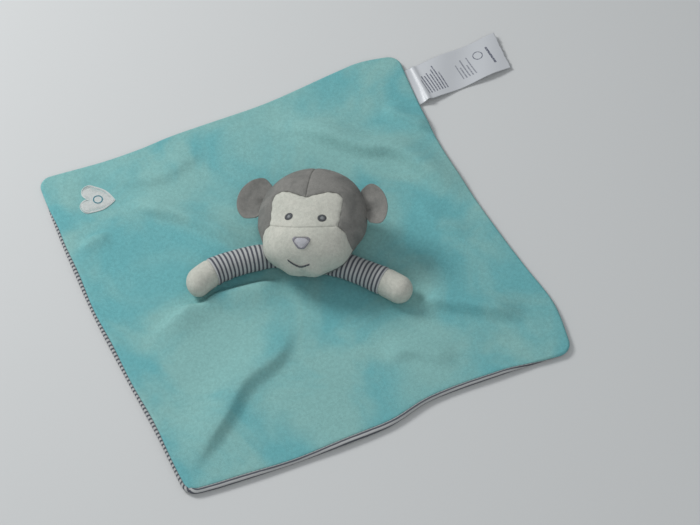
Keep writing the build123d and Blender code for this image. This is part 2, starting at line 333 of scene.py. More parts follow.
def bump(tree, shader, height, strength, distance):
    """Turn a height into the shader's normal."""
    node = add_node(tree, "ShaderNodeBump")
    node.inputs["Strength"].default_value = strength
    node.inputs["Distance"].default_value = distance
    feed(tree, height, node.inputs["Height"])
    tree.links.new(node.outputs["Normal"], shader.inputs["Normal"])


def velour(name, colour, sheen_patch_colour, patch_scale, patch_share, sheen):
    """A velour finish in one dye."""
    finish, tree, shader = new_finish(name, 0.92, sheen, colour)
    group = add_node(tree, "ShaderNodeGroup", node_tree=velour_group)
    group.inputs["Colour"].default_value = colour
    group.inputs["Sheen patch colour"].default_value = sheen_patch_colour
    group.inputs["Patch scale"].default_value = patch_scale
    group.inputs["Patch share"].default_value = patch_share
    tree.links.new(group.outputs["Colour"], shader.inputs["Base Color"])
    bump(tree, shader, group.outputs["Height"], 0.55, 0.35 * MM)
    return finish


# Each velour's second colour is its painted sheen: the same dye where the pile catches less light.
aqua_velour = velour("aqua_velour", paint(136, 184, 181), paint(102, 172, 178), 16.0, 0.85, 0.3)
grey_velour = velour("grey_velour", paint(132, 131, 127), paint(106, 107, 104), 48.0, 0.7, 0.3)
cream_velour = velour("cream_velour", paint(198, 198, 188), paint(188, 190, 180), 60.0, 0.6, 0.2)
print("velours", aqua_velour.name, grey_velour.name, cream_velour.name)

# %% [markdown]
# ## Striped jersey
# The sleeves and the blanket's back are one fine knit with narrow stripes, dyed in the yarn.
# The stripe has to follow the cloth round a bend, so it reads the piece's own UV map, which
# holds the cloth's flat sizes in metres: across the stripes first, along them second.

# %% Striped jersey
STRIPE_PITCH = 3.3 * MM
LOOP_PITCH = 0.8 * MM

jersey_group, given, result = new_group(
    "jersey_stripes",
    [
        ("Dark yarn", COLOUR, (0.1, 0.1, 0.1, 1)),
        ("Pale yarn", COLOUR, (0.6, 0.6, 0.6, 1)),
        ("Dark share", NUMBER, 0.5),
    ],
    [("Colour", COLOUR), ("Height", NUMBER)],
)
flat_place = add_node(jersey_group, "ShaderNodeUVMap", uv_map="flat").outputs["UV"]
apart = add_node(jersey_group, "ShaderNodeSeparateXYZ")
jersey_group.links.new(flat_place, apart.inputs[0])
across, along = apart.outputs[0], apart.outputs[1]
wander = noise(jersey_group, flat_place, 160.0, 1.0)
wander = sum_node(jersey_group, "MULTIPLY", wander, 0.35 * MM)
phase = sum_node(jersey_group, "ADD", across, wander)
phase = sum_node(jersey_group, "DIVIDE", phase, STRIPE_PITCH)
phase = sum_node(jersey_group, "PINGPONG", phase, 0.5)
phase = sum_node(jersey_group, "MULTIPLY", phase, 2.0)
yarn = sum_node(jersey_group, "SUBTRACT", phase, given["Dark share"])
yarn = stretch(jersey_group, yarn, -0.12, 0.12)
knit = blend_colours(jersey_group, yarn, given["Dark yarn"], given["Pale yarn"])
loop_rows = sum_node(jersey_group, "MULTIPLY", along, 2 * math.pi / LOOP_PITCH)
loop_rows = sum_node(jersey_group, "SINE", loop_rows)
loop_steps = sum_node(jersey_group, "MULTIPLY", across, 2 * math.pi / LOOP_PITCH)
loop_steps = sum_node(jersey_group, "SINE", loop_steps)
loops = sum_node(jersey_group, "MULTIPLY", loop_steps, 0.5)
loops = sum_node(jersey_group, "ADD", loop_rows, loops)
loops = sum_node(jersey_group, "MULTIPLY", loops, 0.33)
loops = sum_node(jersey_group, "ADD", loops, 0.5)
hairs = noise(jersey_group, flat_place, 2600.0, 1.0)
# Painted shade: the knit drawn darker between its loops, where the relief is low, in step with the
# bump.
knit = shade_colour(jersey_group, knit, loops, 0.86, 1.06)
knit = shade_colour(jersey_group, knit, hairs, 0.86, 1.14)
jersey_group.links.new(knit, result["Colour"])
knit_height = sum_node(jersey_group, "ADD", loops, hairs)
jersey_group.links.new(knit_height, result["Height"])


def jersey(name, dark, pale, dark_share):
    """A striped jersey in two yarns."""
    finish, tree, shader = new_finish(name, 0.88, 0.15, pale)
    group = add_node(tree, "ShaderNodeGroup", node_tree=jersey_group)
    group.inputs["Dark yarn"].default_value = dark
    group.inputs["Pale yarn"].default_value = pale
    group.inputs["Dark share"].default_value = dark_share
    tree.links.new(group.outputs["Colour"], shader.inputs["Base Color"])
    bump(tree, shader, group.outputs["Height"], 0.5, 0.25 * MM)
    return finish


striped_jersey = jersey("striped_jersey", paint(88, 91, 98), paint(184, 186, 186), 0.46)
print("jersey", striped_jersey.name)

# %% [markdown]
# ## Thread, ribbon and wadding
# Embroidery thread is a shiny twisted yarn. Its gloss comes from a lower roughness, and the
# stitches themselves are modelled, so the finish adds only the twist, as a bump and as painted
# highlight and shade along the fibres. The care label is satin ribbon with grey printed bars:
# plain bars and a ring, with no lettering.

# %% Thread
twist_group, given, result = new_group(
    "thread_twist",
    [("Colour", COLOUR, (0.5, 0.5, 0.5, 1))],
    [("Colour", COLOUR), ("Height", NUMBER)],
)
where = add_node(twist_group, "ShaderNodeTexCoord").outputs["Object"]
fibres = noise(twist_group, where, 3200.0, 2.0, 1.2)
shade = noise(twist_group, where, 700.0, 1.0)
# Painted highlight and shade along the twist: the colour is lighter where the fibres stand higher.
lit = shade_colour(twist_group, given["Colour"], fibres, 0.72, 1.22)
lit = shade_colour(twist_group, lit, shade, 0.85, 1.12)
twist_group.links.new(lit, result["Colour"])
twist_group.links.new(fibres, result["Height"])


def thread_finish(name, colour):
    """Embroidery thread in one colour."""
    finish, tree, shader = new_finish(name, 0.5, 0.1, colour)
    shader.inputs["Specular IOR Level"].default_value = 0.4
    group = add_node(tree, "ShaderNodeGroup", node_tree=twist_group)
    group.inputs["Colour"].default_value = colour
    tree.links.new(group.outputs["Colour"], shader.inputs["Base Color"])
    bump(tree, shader, group.outputs["Height"], 0.4, 0.1 * MM)
    return finish


seam_thread = thread_finish("seam_thread", paint(118, 128, 134))
iris_thread = thread_finish("iris_thread", paint(82, 85, 88))
glint_thread = thread_finish("glint_thread", paint(150, 154, 156))
silver_thread = thread_finish("silver_thread", paint(206, 206, 212))
border_thread = thread_finish("border_thread", paint(140, 139, 146))
mouth_thread = thread_finish("mouth_thread", paint(62, 68, 78))
white_thread = thread_finish("white_thread", paint(222, 226, 224))
blue_thread = thread_finish("blue_thread", paint(56, 134, 150))
print("threads ready")

# %% Satin ribbon and wadding
LABEL_LENGTH = 85 * MM
LABEL_WIDTH = 35 * MM

satin_ribbon, tree, shader = new_finish("satin_ribbon", 0.3)
shader.inputs["Specular IOR Level"].default_value = 0.5
shader.inputs["Coat Weight"].default_value = 0.15
shader.inputs["Coat Roughness"].default_value = 0.3
flat_place = add_node(tree, "ShaderNodeUVMap", uv_map="flat").outputs["UV"]
apart = add_node(tree, "ShaderNodeSeparateXYZ")
tree.links.new(flat_place, apart.inputs[0])
down, over = apart.outputs[0], apart.outputs[1]


def band(value, low, high):
    """1 between low and high, with edges a tenth of a millimetre soft."""
    rise = stretch(tree, value, low, low + 0.1 * MM)
    fall = stretch(tree, value, high, high + 0.1 * MM)
    return sum_node(tree, "SUBTRACT", rise, fall)


def printed_block(start, end, left, right, pitch):
    """A block of thin printed bars of uneven length."""
    step = sum_node(tree, "DIVIDE", down, pitch)
    row = sum_node(tree, "FLOOR", step)
    uneven = add_node(tree, "ShaderNodeTexWhiteNoise", noise_dimensions="1D")
    tree.links.new(row, uneven.inputs["W"])
    length = sum_node(tree, "MULTIPLY", uneven.outputs["Value"], (right - left) * 0.45)
    reach = sum_node(tree, "ADD", over, length)
    bars = sum_node(tree, "FRACT", step)
    bars = sum_node(tree, "LESS_THAN", bars, 0.42)
    bars = sum_node(tree, "MULTIPLY", bars, band(down, start, end))
    inside = sum_node(tree, "MULTIPLY", band(over, left, 1.0), band(reach, left, right))
    return sum_node(tree, "MULTIPLY", bars, inside)


def printed_ring(centre, radius, width):
    """A plain printed ring."""
    away = add_node(tree, "ShaderNodeVectorMath", operation="DISTANCE")
    tree.links.new(flat_place, away.inputs[0])
    away.inputs[1].default_value = centre
    return band(away.outputs["Value"], radius - width / 2, radius + width / 2)


small_print = printed_block(14 * MM, 31 * MM, 5 * MM, 30 * MM, 2.3 * MM)
large_print = printed_block(45 * MM, 57 * MM, 7 * MM, 25 * MM, 2.8 * MM)
stamp = printed_ring((65.5 * MM, 22 * MM, 0), 3.6 * MM, 0.8 * MM)
bold_bar = sum_node(
    tree, "MULTIPLY", band(down, 73.5 * MM, 75.3 * MM), band(over, 9 * MM, 26 * MM)
)
ink = sum_node(tree, "ADD", small_print, sum_node(tree, "MULTIPLY", large_print, 0.7))
ink = sum_node(tree, "ADD", ink, stamp)
ink = sum_node(tree, "ADD", ink, bold_bar, clamp=True)
worn = noise(tree, flat_place, 900.0, 2.0)
ink = sum_node(tree, "MULTIPLY", ink, stretch(tree, worn, 0.15, 0.6))
weave_a = sum_node(tree, "SINE", sum_node(tree, "MULTIPLY", down, 2 * math.pi / (0.5 * MM)))
weave_b = sum_node(tree, "SINE", sum_node(tree, "MULTIPLY", over, 2 * math.pi / (0.25 * MM)))
ribbon = blend_colours(tree, ink, paint(198, 201, 205), paint(84, 88, 104))
tree.links.new(ribbon, shader.inputs["Base Color"])
bump(tree, shader, sum_node(tree, "ADD", weave_a, weave_b), 0.12, 0.05 * MM)

fibre_wadding, tree, shader = new_finish("fibre_wadding", 0.95, 0.2)
where = add_node(tree, "ShaderNodeTexCoord").outputs["Object"]
curls = noise(tree, where, 240.0, 5.0, 2.5)
fluff = blend_colours(tree, curls, paint(206, 206, 200), paint(240, 240, 236))
tree.links.new(fluff, shader.inputs["Base Color"])
bump(tree, shader, curls, 0.9, 1.5 * MM)
print("ribbon and wadding ready")

# %% [markdown]
# ## The blanket's cloth
# Two squares of cloth are sewn round the edge and turned out, so the edge is a soft roll. Along
# two sides the roll has turned upwards, and the striped back shows as a narrow band beyond the
# seam. Elsewhere the seam has rolled under. A cloth simulation would lay its own folds, but
# these folds have known places, so each is a smooth line with a steep side and a gentle side,
# and both layers are lifted by the same folds.

# %% Folds, outline and the roll of the edge
cloth_high = np.array(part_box("blanket_velour")[1])
HALF = cloth_high[0]
CLOTH_TOP = cloth_high[2]
ROLL = CLOTH_TOP / 2
CORNER = 10 * MM
TOY_TURN = math.radians(-24.5)

# Each fold: its line, seen from above, with its steep side on the left as it runs; its height;
# the widths of its steep side and its gentle side. Millimetres.
FOLDS = [
    ([(-23, 26), (-39, 39), (-66, 72), (-104, 101)], 3.4, 4.0, 13.0),
    ([(-131, -23), (-108, -14), (-82, -6), (-43, -9), (-4, -14)], 4.6, 4.5, 16.0),
    ([(-24, -46), (-47, -71), (-78, -83), (-104, -106), (-147, -138)], 4.4, 6.0, 22.0),
    ([(135, -112), (104, -91), (79, -75), (58, -61)], 5.2, 5.5, 17.0),
    ([(143, 1), (130, 17), (109, 61), (83, 78), (48, 113), (28, 124)], 5.2, 6.0, 17.0),
    ([(142, 72), (128, 86), (112, 108)], 2.8, 4.0, 11.0),
    ([(70, -128), (44, -106), (20, -104)], 2.6, 5.0, 15.0),
    ([(82, -12), (62, 2), (48, 10)], 2.0, 3.0, 8.0),
    ([(-147, 70), (-134, 78), (-118, 78)], 2.0, 3.5, 9.0),
    ([(128, -30), (108, -8), (100, 20)], 1.6, 4.0, 12.0),
    ([(-20, 128), (-70, 112), (-110, 132)], 1.6, 6.0, 20.0),
]

FOLD_HEIGHT = 1.5
FOLD_WIDTH = 0.85

# How far each side swells out, or is drawn in, at places along it. Millimetres.
SWELL = {
    "left": [(-150, 1), (-97, 1.6), (-42, 4.2), (13, 6.3), (73, 5.4), (121, 3), (150, 1)],
    "right": [(-150, 1), (-107, 7), (-66, 1.5), (-10, -5), (60, -9), (121, -6), (150, -3)],
    "near": [(-150, 2), (-120, 5), (-61, 7), (0, 6), (40, -3), (92, -3), (123, -2), (150, 0)],
    "far": [(-150, -2), (-102, -6), (-70, -6), (-35, -3), (37, -2), (95, 4.5), (120, 6), (150, 1)],
}

# Places that must stay flat: centre x and y, the radius that is calm, and where folds are full.
CALM = [(-116, 112, 13, 24), (0, 0, 16, 34), (4, 16, 20, 36)]


def lift(x, y):
    """How high the folds raise the cloth at each place, in metres."""
    x, y = x / MM, y / MM
    height = 0.35 * (1 + np.sin(x / 31 + 1.0) * np.sin(y / 27 - 0.5))
    height += 0.25 * (1 + np.sin(x / 13 - y / 19 + 2.0) * np.sin(y / 16 + x / 41))
    for points, tall, steep, gentle in FOLDS:
        line = flowing(points, 8)
        steps = np.hypot(*np.diff(line, axis=0).T)
        run = np.concatenate([[0], np.cumsum(steps)])
        nearest = np.full(x.shape, 1e9)
        side = np.zeros(x.shape)
        place = np.zeros(x.shape)
        for i in range(len(steps)):
            (ax, ay), (bx, by) = line[i], line[i + 1]
            share = ((x - ax) * (bx - ax) + (y - ay) * (by - ay)) / steps[i] ** 2
            share = np.clip(share, 0, 1)
            dx, dy = x - ax - share * (bx - ax), y - ay - share * (by - ay)
            far = np.hypot(dx, dy)
            closer = far < nearest
            nearest = np.where(closer, far, nearest)
            side = np.where(closer, (bx - ax) * dy - (by - ay) * dx, side)
            place = np.where(closer, (run[i] + share * steps[i]) / run[-1], place)
        width = np.where(side > 0, steep, gentle)
        fade = ease(place, 0, 0.3) * (1 - ease(place, 0.72, 1))
        height += FOLD_HEIGHT * tall * fade * np.exp(-((nearest / width / FOLD_WIDTH) ** 2))
    for centre_x, centre_y, calm, full in CALM:
        height *= ease(np.hypot(x - centre_x, y - centre_y), calm, full)
    return height * arms_leave(x, y) * MM


def swell(side, along):
    """How far a side stands out at places along it, in metres."""
    line = flowing(SWELL[side], 8)
    return np.interp(along / MM, line[:, 0], line[:, 1]) * MM


# %% Where the arms run
ARM_LENGTH = 81 * MM
ARM_START = 9 * MM
ARM_ARCS = {"left": (-1, 4.0, 38.0), "right": (1, 18.0, 14.0)}
# A hand hangs a little further round than its arc: a bend that grows from this distance on.
DROOP_FROM = 46 * MM
HAND_DROOP = {"left": 4.0, "right": 1.0}
toy_frame = Matrix.Translation((0, 0, CLOTH_TOP)) @ Matrix.Rotation(TOY_TURN, 4, "Z")


def arm_place(side_name, distance):
    """A place on the cloth along an arm's arc, and the arm's heading there."""
    side, start, turn = ARM_ARCS[side_name]
    pieces = 24
    u, v = ARM_START, 0.0
    for step in range(pieces):
        angle = math.radians(start + turn * (step + 0.5) / pieces * distance / ARM_LENGTH)
        u += math.cos(angle) * distance / pieces
        v -= math.sin(angle) * distance / pieces
    angle = math.radians(start + turn * distance / ARM_LENGTH)
    heading = Vector((side * math.cos(angle), -math.sin(angle), 0))
    droop = HAND_DROOP[side_name] * max(0, distance - DROOP_FROM) ** 2
    u, v = u - droop * math.sin(angle), v - droop * math.cos(angle)
    return toy_frame @ Vector((side * u, v, 0)), toy_frame.to_3x3() @ heading


ARM_SPOTS = [arm_place(side, far * MM)[0] / MM for side in ARM_ARCS for far in range(10, 80, 5)]


def arms_leave(x, y):
    """0 right under an arm and 1 clear of it, so that no fold meets an arm."""
    room = np.ones(np.shape(x))
    for spot in ARM_SPOTS:
        room = np.minimum(room, ease(np.hypot(x - spot.x, y - spot.y), 6.5, 15))
    return room


print("left arm ends at", [round(v, 4) for v in arm_place("left", ARM_LENGTH)[0]])

# %% [markdown]
# ## Laying both layers
# Each layer starts as a flat grid with closer rows near its edge. The grid's square corners are
# drawn in to arcs, then the rows near the edge are wrapped round the roll, and at last the
# outline is swelled and the folds lift it. The velour wraps down to the seam and the jersey
# wraps up to it, so they meet there whichever way the roll has turned.

# %% Lay a layer of the blanket
GRID_LINES = 150
EDGE_LINES = 17
EDGE_ROWS = 12.5 * MM
SEAM_UNDER = 3.7 * MM
SEAM_SHOWN = -1.9 * MM
SEAM_GROOVE = 0.5 * MM
HALF_TURN = math.pi * ROLL


def edge_frame(x, y):
    """For each place: how far inside the outline it is, and the way out."""
    inner = HALF - CORNER
    qx, qy = np.abs(x) - inner, np.abs(y) - inner
    in_corner = (qx > 0) & (qy > 0)
    inset = CORNER - np.where(in_corner, np.hypot(qx, qy), np.maximum(qx, qy))
    way_x = np.sign(x) * (np.abs(x) / HALF) ** 20 + 1e-9
    way_y = np.sign(y) * (np.abs(y) / HALF) ** 20
    long = np.hypot(way_x, way_y)
    return inset, way_x / long, way_y / long


def seam_place(x, y, way_x, way_y):
    """How far round the roll the seam lies: below zero it is on top, and the back shows."""
    left = np.where(way_x < 0, way_x**2, 0) * (1 - ease(y, 95 * MM, 135 * MM))
    near = np.where(way_y < 0, way_y**2, 0) * (1 - ease(x, 95 * MM, 140 * MM))
    shown = np.clip(left + near, 0, 1)
    wave = 0.45 * MM * (np.sin(x / (14 * MM)) + np.sin(y / (11 * MM) + x / (23 * MM)))
    left_side = np.where(way_x < -0.7, 0.9 * MM, 0)
    return SEAM_UNDER + shown * (SEAM_SHOWN + left_side + wave - SEAM_UNDER)


def lay(x, y, over):
    """Flat places on a layer, taken to where they lie. over is 1 for velour and -1 for jersey."""
    inset, way_x, way_y = edge_frame(x, y)
    seam = seam_place(x, y, way_x, way_y)
    round_roll = seam - over * inset
    if over > 0:
        shift = seam - ROLL
        rolled = round_roll - ROLL * np.sin(np.clip(round_roll, 0, None) / ROLL)
        move = -np.where(round_roll > 0, rolled, 0)
    else:
        shift = HALF_TURN - ROLL - seam
        left_to_go = HALF_TURN - round_roll
        turned = np.where(round_roll > 0, ROLL * np.sin(round_roll / ROLL), round_roll)
        move = np.where(left_to_go > 0, turned - left_to_go, 0)
    turn = np.clip(round_roll, 0, HALF_TURN)
    z = ROLL + ROLL * np.cos(turn / ROLL)
    groove = SEAM_GROOVE * np.exp(-((inset / (0.9 * MM)) ** 2))
    z -= groove * np.cos(turn / ROLL)
    move = move - groove * np.sin(turn / ROLL)
    out = shift * (1 - np.clip(inset, 0, HALF) / HALF) + move
    laid_x, laid_y = x + way_x * out, y + way_y * out
    share_x, share_y = np.abs(laid_x / HALF) ** 2, np.abs(laid_y / HALF) ** 2
    laid_x = laid_x + share_x * np.where(x < 0, -swell("left", y), swell("right", y))
    laid_y = laid_y + share_y * np.where(y < 0, -swell("near", x), swell("far", x))
    return np.stack([laid_x, laid_y, z + lift(laid_x, laid_y)], axis=1)


def draw_in_corners(x, y):
    """The square's corners drawn in to arcs."""
    inner = HALF - CORNER
    dx = np.clip(np.abs(x) - inner, 0, None) / CORNER
    dy = np.clip(np.abs(y) - inner, 0, None) / CORNER
    new_x = np.minimum(np.abs(x), inner) + CORNER * dx * np.sqrt(1 - dy**2 / 2)
    new_y = np.minimum(np.abs(y), inner) + CORNER * dy * np.sqrt(1 - dx**2 / 2)
    return np.sign(x) * new_x, np.sign(y) * new_y


def write_flat_map(piece, across, along):
    """Keep each point's place on the flat cloth in the piece's UV map."""
    layer = piece.data.uv_layers[0] if piece.data.uv_layers else piece.data.uv_layers.new()
    layer.name = "flat"
    corner_points = np.empty(len(piece.data.loops), int)
    piece.data.loops.foreach_get("vertex_index", corner_points)
    places = np.stack([across[corner_points], along[corner_points]], axis=1)
    layer.data.foreach_set("uv", places.ravel())


def new_grid(name, columns, rows):
    """A flat grid to be laid, rolled or bent. Returns it and each point's shares, 0 to 1."""
    bpy.ops.object.select_all(action="DESELECT")
    bpy.ops.mesh.primitive_grid_add(x_subdivisions=columns, y_subdivisions=rows, size=1)
    piece = bpy.context.object
    piece.name = piece.data.name = name
    shares = points_of(piece)[:, :2] + 0.5
    return piece, shares[:, 0], shares[:, 1]


def thicken(piece, thickness):
    """Give a skin its thickness, on the side away from its faces' outside."""
    wall = piece.modifiers.new("wall", "SOLIDIFY")
    wall.thickness = thickness
    wall.offset = -1
    apply_modifiers(piece)


def finish_piece(piece, material):
    """Smooth shading and the material."""
    piece.data.materials.clear()
    piece.data.materials.append(material)
    pick(piece)
    bpy.ops.object.shade_smooth()


def blanket_layer(name, over, thickness):
    """One layer of the blanket."""
    piece, s, t = new_grid(name, GRID_LINES, GRID_LINES)
    lines = [0, EDGE_LINES / GRID_LINES, 1 - EDGE_LINES / GRID_LINES, 1]
    places = [-HALF, EDGE_ROWS - HALF, HALF - EDGE_ROWS, HALF]
    flat_x, flat_y = draw_in_corners(np.interp(s, lines, places), np.interp(t, lines, places))
    write_flat_map(piece, flat_y, flat_x)
    place_points(piece, lay(flat_x, flat_y, over))
    if over < 0:
        piece.data.flip_normals()
    thicken(piece, thickness)
    return piece


velour_sheet = blanket_layer("blanket_velour_cloth", 1, 1.2 * MM)
finish_piece(velour_sheet, aqua_velour)
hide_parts("blanket_velour")
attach(velour_sheet, "blanket")

backing_sheet = blanket_layer("blanket_backing_cloth", -1, 1.0 * MM)
finish_piece(backing_sheet, striped_jersey)
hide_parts("blanket_backing")
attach(backing_sheet, "blanket")

for sheet in (velour_sheet, backing_sheet):
    heights = points_of(sheet)[:, 2]
    print(sheet.name, len(sheet.data.polygons), "faces, z", heights.min(), heights.max())

# %% [markdown]
# ## Stitches
# A stitch is a short tube of thread whose ends dip into the cloth. One curve object holds a whole
# patch of stitches as separate splines. Its round bevel makes them tubes, and converting it makes
# a plain mesh, because a heavy patch of curves is slow to move about.


# %% A patch of stitches
def stitch_patch(name, runs, radius, material):
    """Thread laid along each run of points, as one mesh."""
    curve = bpy.data.curves.new(name, "CURVE")
    curve.dimensions = "3D"
    curve.bevel_depth = radius
    curve.bevel_resolution = 1
    curve.use_fill_caps = True
    curve.resolution_u = 1
    for run in runs:
        spline = curve.splines.new("POLY")
        spline.points.add(len(run) - 1)
        spline.points.foreach_set("co", [c for point in run for c in (*point, 1.0)])
        spline.points.foreach_set("radius", thread_ends(len(run)))
    patch = bpy.data.objects.new(name, curve)
    bpy.context.collection.objects.link(patch)
    pick(patch)
    bpy.ops.object.convert(target="MESH")
    patch = bpy.context.object
    finish_piece(patch, material)
    return patch


def thread_ends(count):
    """A thread narrows a little where it goes down into the cloth."""
    return [0.6 if i in (0, count - 1) else 1.0 for i in range(count)]


# %% The seam round the blanket
STITCH_LENGTH = 2.5 * MM
STITCH_GAP = 0.6 * MM
STITCH_RADIUS = 0.2 * MM
STITCH_SINK = 0.15 * MM


def outline_places(count):
    """Places round the flat outline, evenly spaced, from the middle of the near side."""
    inner = HALF - CORNER
    straight, arc = 2 * inner, math.pi / 2 * CORNER
    places = []
    for run in np.arange(count) / count * 4 * (straight + arc):
        side, run = divmod(run, straight + arc)
        if run < straight:
            x, y = run - inner, -HALF
        else:
            angle = (run - straight) / CORNER
            x, y = inner + CORNER * math.sin(angle), -inner - CORNER * math.cos(angle)
        turn = side * math.pi / 2
        places.append(
            (x * math.cos(turn) - y * math.sin(turn), x * math.sin(turn) + y * math.cos(turn))
        )
    return np.array(places)


around = 4 * (2 * (HALF - CORNER) + math.pi / 2 * CORNER)
stitch_count = int(around / (STITCH_LENGTH + STITCH_GAP))
spots = outline_places(2 * stitch_count)
spots = np.stack([spots[::2], spots[1::2], np.roll(spots[::2], -1, axis=0)], axis=1)
seam_runs = lay(spots[..., 0].ravel(), spots[..., 1].ravel(), 1).reshape(-1, 3, 3)
stitch_share = STITCH_LENGTH / (STITCH_LENGTH + STITCH_GAP)
seam_runs = seam_runs[:, 1:2] + (seam_runs - seam_runs[:, 1:2]) * stitch_share
seam_runs[:, [0, 2], 2] -= STITCH_SINK
edge_stitches = stitch_patch(
    "edge_seam_stitches", seam_runs, STITCH_RADIUS, seam_thread
)
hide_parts("edge_seam_thread")
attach(edge_stitches, "blanket")

print("seam of", len(seam_runs), "stitches")

# %% [markdown]
# ## The badge
# A small white heart is embroidered near one corner, with a blue ring on it. Satin stitch is
# rows of thread side by side, each from one edge of the shape to the other, over a line of
# padding that makes the middle stand up. The heart's outline is cut into rows by a scan.

# %% The embroidered heart
BADGE_TURN = math.radians(65)
SATIN_SPACING = 0.62 * MM
SATIN_RADIUS = 0.3 * MM
badge_low, badge_high = (np.array(corner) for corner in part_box("badge_ring"))
badge_middle = (badge_low + badge_high) / 2
badge_frame = Matrix.Translation((badge_middle[0], badge_middle[1], 0))
badge_frame = badge_frame @ Matrix.Rotation(BADGE_TURN, 4, "Z")
LOBE = 6 * MM

lobe_arc = [(LOBE - LOBE * math.cos(a), LOBE + LOBE * math.sin(a)) for a in np.linspace(0, 3.14, 13)]
lower_edge = [(2 * LOBE, LOBE), (1.45 * LOBE, -0.55 * LOBE), (0.75 * LOBE, -1.4 * LOBE), (0, -2 * LOBE)]
half_heart = np.array(lobe_arc + list(flowing(lower_edge, 6))[1:])
heart_outline = np.vstack([half_heart, half_heart[::-1][1:] * (-1, 1)])


def rows_across(outline, spacing):
    """The stretches of each row that lie inside a closed outline."""
    rows = []
    for y in np.arange(outline[:, 1].min() + spacing / 2, outline[:, 1].max(), spacing):
        crossings = []
        for a, b in zip(outline, np.roll(outline, -1, axis=0)):
            if (a[1] > y) != (b[1] > y):
                crossings.append(a[0] + (b[0] - a[0]) * (y - a[1]) / (b[1] - a[1]))
        crossings.sort()
        rows += [(y, start, end) for start, end in zip(crossings[::2], crossings[1::2])]
    return rows


def on_badge(x, y, up):
    """A place on the badge, a height above the cloth."""
    place = badge_frame @ Vector((x, y, 0))
    ground = lift(np.array([place.x]), np.array([place.y]))[0]
    return (place.x, place.y, CLOTH_TOP + ground + up)


heart_runs = []
for y, start, end in rows_across(heart_outline, SATIN_SPACING):
    if end - start > 1.2 * MM:
        shares = np.linspace(0, 1, 6)
        rise = [0.45 * MM * math.sin(math.pi * share) for share in shares]
        heart_runs.append([on_badge(start + (end - start) * s, y, r) for s, r in zip(shares, rise)])
for grown in (1.0, 1.07):
    rim = flowing(np.vstack([heart_outline, heart_outline[:1]]) * grown, 1)
    heart_runs.append([on_badge(x, y, 0.35 * MM) for x, y in rim])
heart = stitch_patch("heart_stitches", heart_runs, SATIN_RADIUS, white_thread)
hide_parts("badge_heart")
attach(heart, "blanket")

ring_runs = []
RING_RADIUS = 4 * MM
for angle in np.linspace(0, 2 * math.pi, 56, endpoint=False):
    spoke = [(RING_RADIUS - 1.3 * MM, 0.3), (RING_RADIUS - 0.65 * MM, 0.95), (RING_RADIUS, 0.3)]
    ring_runs.append([on_badge(r * math.cos(angle), r * math.sin(angle), h * MM) for r, h in spoke])
ring = stitch_patch("ring_stitches", ring_runs, 0.24 * MM, blue_thread)
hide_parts("badge_ring")
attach(ring, "blanket")
print("heart rows", len(heart_runs), "ring stitches", len(ring_runs))

# %% [markdown]
# ## The care label
# The label is a strip of satin ribbon caught in the side seam. It is stiff for its thickness, so
# it keeps a crease near the seam and a slow wave beyond. Its cut end is a little ragged.

# %% The care label
LABEL_TURN = math.radians(4)
LABEL_TUCK = 3 * MM
LABEL_SKEW = 0.12
LABEL_THICK = 0.25 * MM
label_low, label_high = (np.array(corner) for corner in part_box("care_label"))
label_middle_y = (label_low[1] + label_high[1]) / 2 - 2.4 * MM
hinge_x = label_low[0]
seam_x = HALF + swell("right", np.array([label_middle_y]))[0]

label, s, t = new_grid("care_label_ribbon", 110, 44)
over = (t - 0.5) * LABEL_WIDTH
down = s * (LABEL_LENGTH + LABEL_SKEW * over)
write_flat_map(label, down, t * LABEL_WIDTH)
ragged = 0.5 * MM * np.sin(over / (1.1 * MM)) * np.sin(over / (2.7 * MM)) * (s > 0.995)
crease = 1.5 * MM * np.exp(-(((down - 13 * MM - over * 0.12) / (2.2 * MM)) ** 2))
slow_wave = 2.2 * MM * (1 - np.cos(down / (8 * MM) - over / (13 * MM))) / 2
drop = -0.9 * MM * ease(down, 4 * MM, 20 * MM)
curl = 0.8 * MM * (over / (LABEL_WIDTH / 2)) ** 2 * ease(down, 30 * MM, 85 * MM)
rise = ease(down, LABEL_TUCK, 10 * MM)
x = seam_x - LABEL_TUCK - ROLL + (down + ragged) * math.cos(LABEL_TURN) - over * math.sin(LABEL_TURN)
y = label_middle_y + (down + ragged) * math.sin(LABEL_TURN) + over * math.cos(LABEL_TURN)
z = ROLL + drop + rise * (crease + slow_wave + curl)
place_points(label, np.stack([x, y, z], axis=1))
thicken(label, LABEL_THICK)
finish_piece(label, satin_ribbon)
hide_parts("care_label")
# The hinge is the CAD joint's, a little outside the edge, which is drawn in here.
hinge = Vector((hinge_x, label_middle_y, ROLL))
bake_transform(label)
print("label from x", round(float(x.min()), 4), "to", round(float(x.max()), 4))

# %% [markdown]
# ## The head
# The head is a bag of velour panels filled with fibre. Filling pushes the cloth outwards and the
# seams hold it in, so the form is round between seams and creased along them. It is made in that
# order: the stuffing's own form is copied, remeshed evenly, blown up as cloth, fitted to the
# head's size, then drawn in along the seams and separated into its panels.

# %% The head's own directions
HEAD_PLACE = Vector((9.0, 16.4, 28.2)) * MM
HEAD_TURN = math.radians(-5.5)
HEAD_PITCH = math.radians(13)
HEAD_LOLL = math.radians(-12)
head_frame = toy_frame @ Matrix.Translation(HEAD_PLACE) @ Matrix.Rotation(HEAD_TURN, 4, "Z")
head_frame = head_frame @ Matrix.Rotation(HEAD_PITCH, 4, "X") @ Matrix.Rotation(HEAD_LOLL, 4, "Y")


def into(frame_matrix, points):
    """Row-frame points as seen in a frame of their own, in metres."""
    matrix = np.array(frame_matrix.inverted())
    return points @ matrix[:3, :3].T + matrix[:3, 3]


def out_of(frame_matrix, points):
    """Points in a frame of their own, taken back to the row frame."""
    matrix = np.array(frame_matrix)
    return points @ matrix[:3, :3].T + matrix[:3, 3]


print("head middle", [round(value, 4) for value in head_frame.translation])


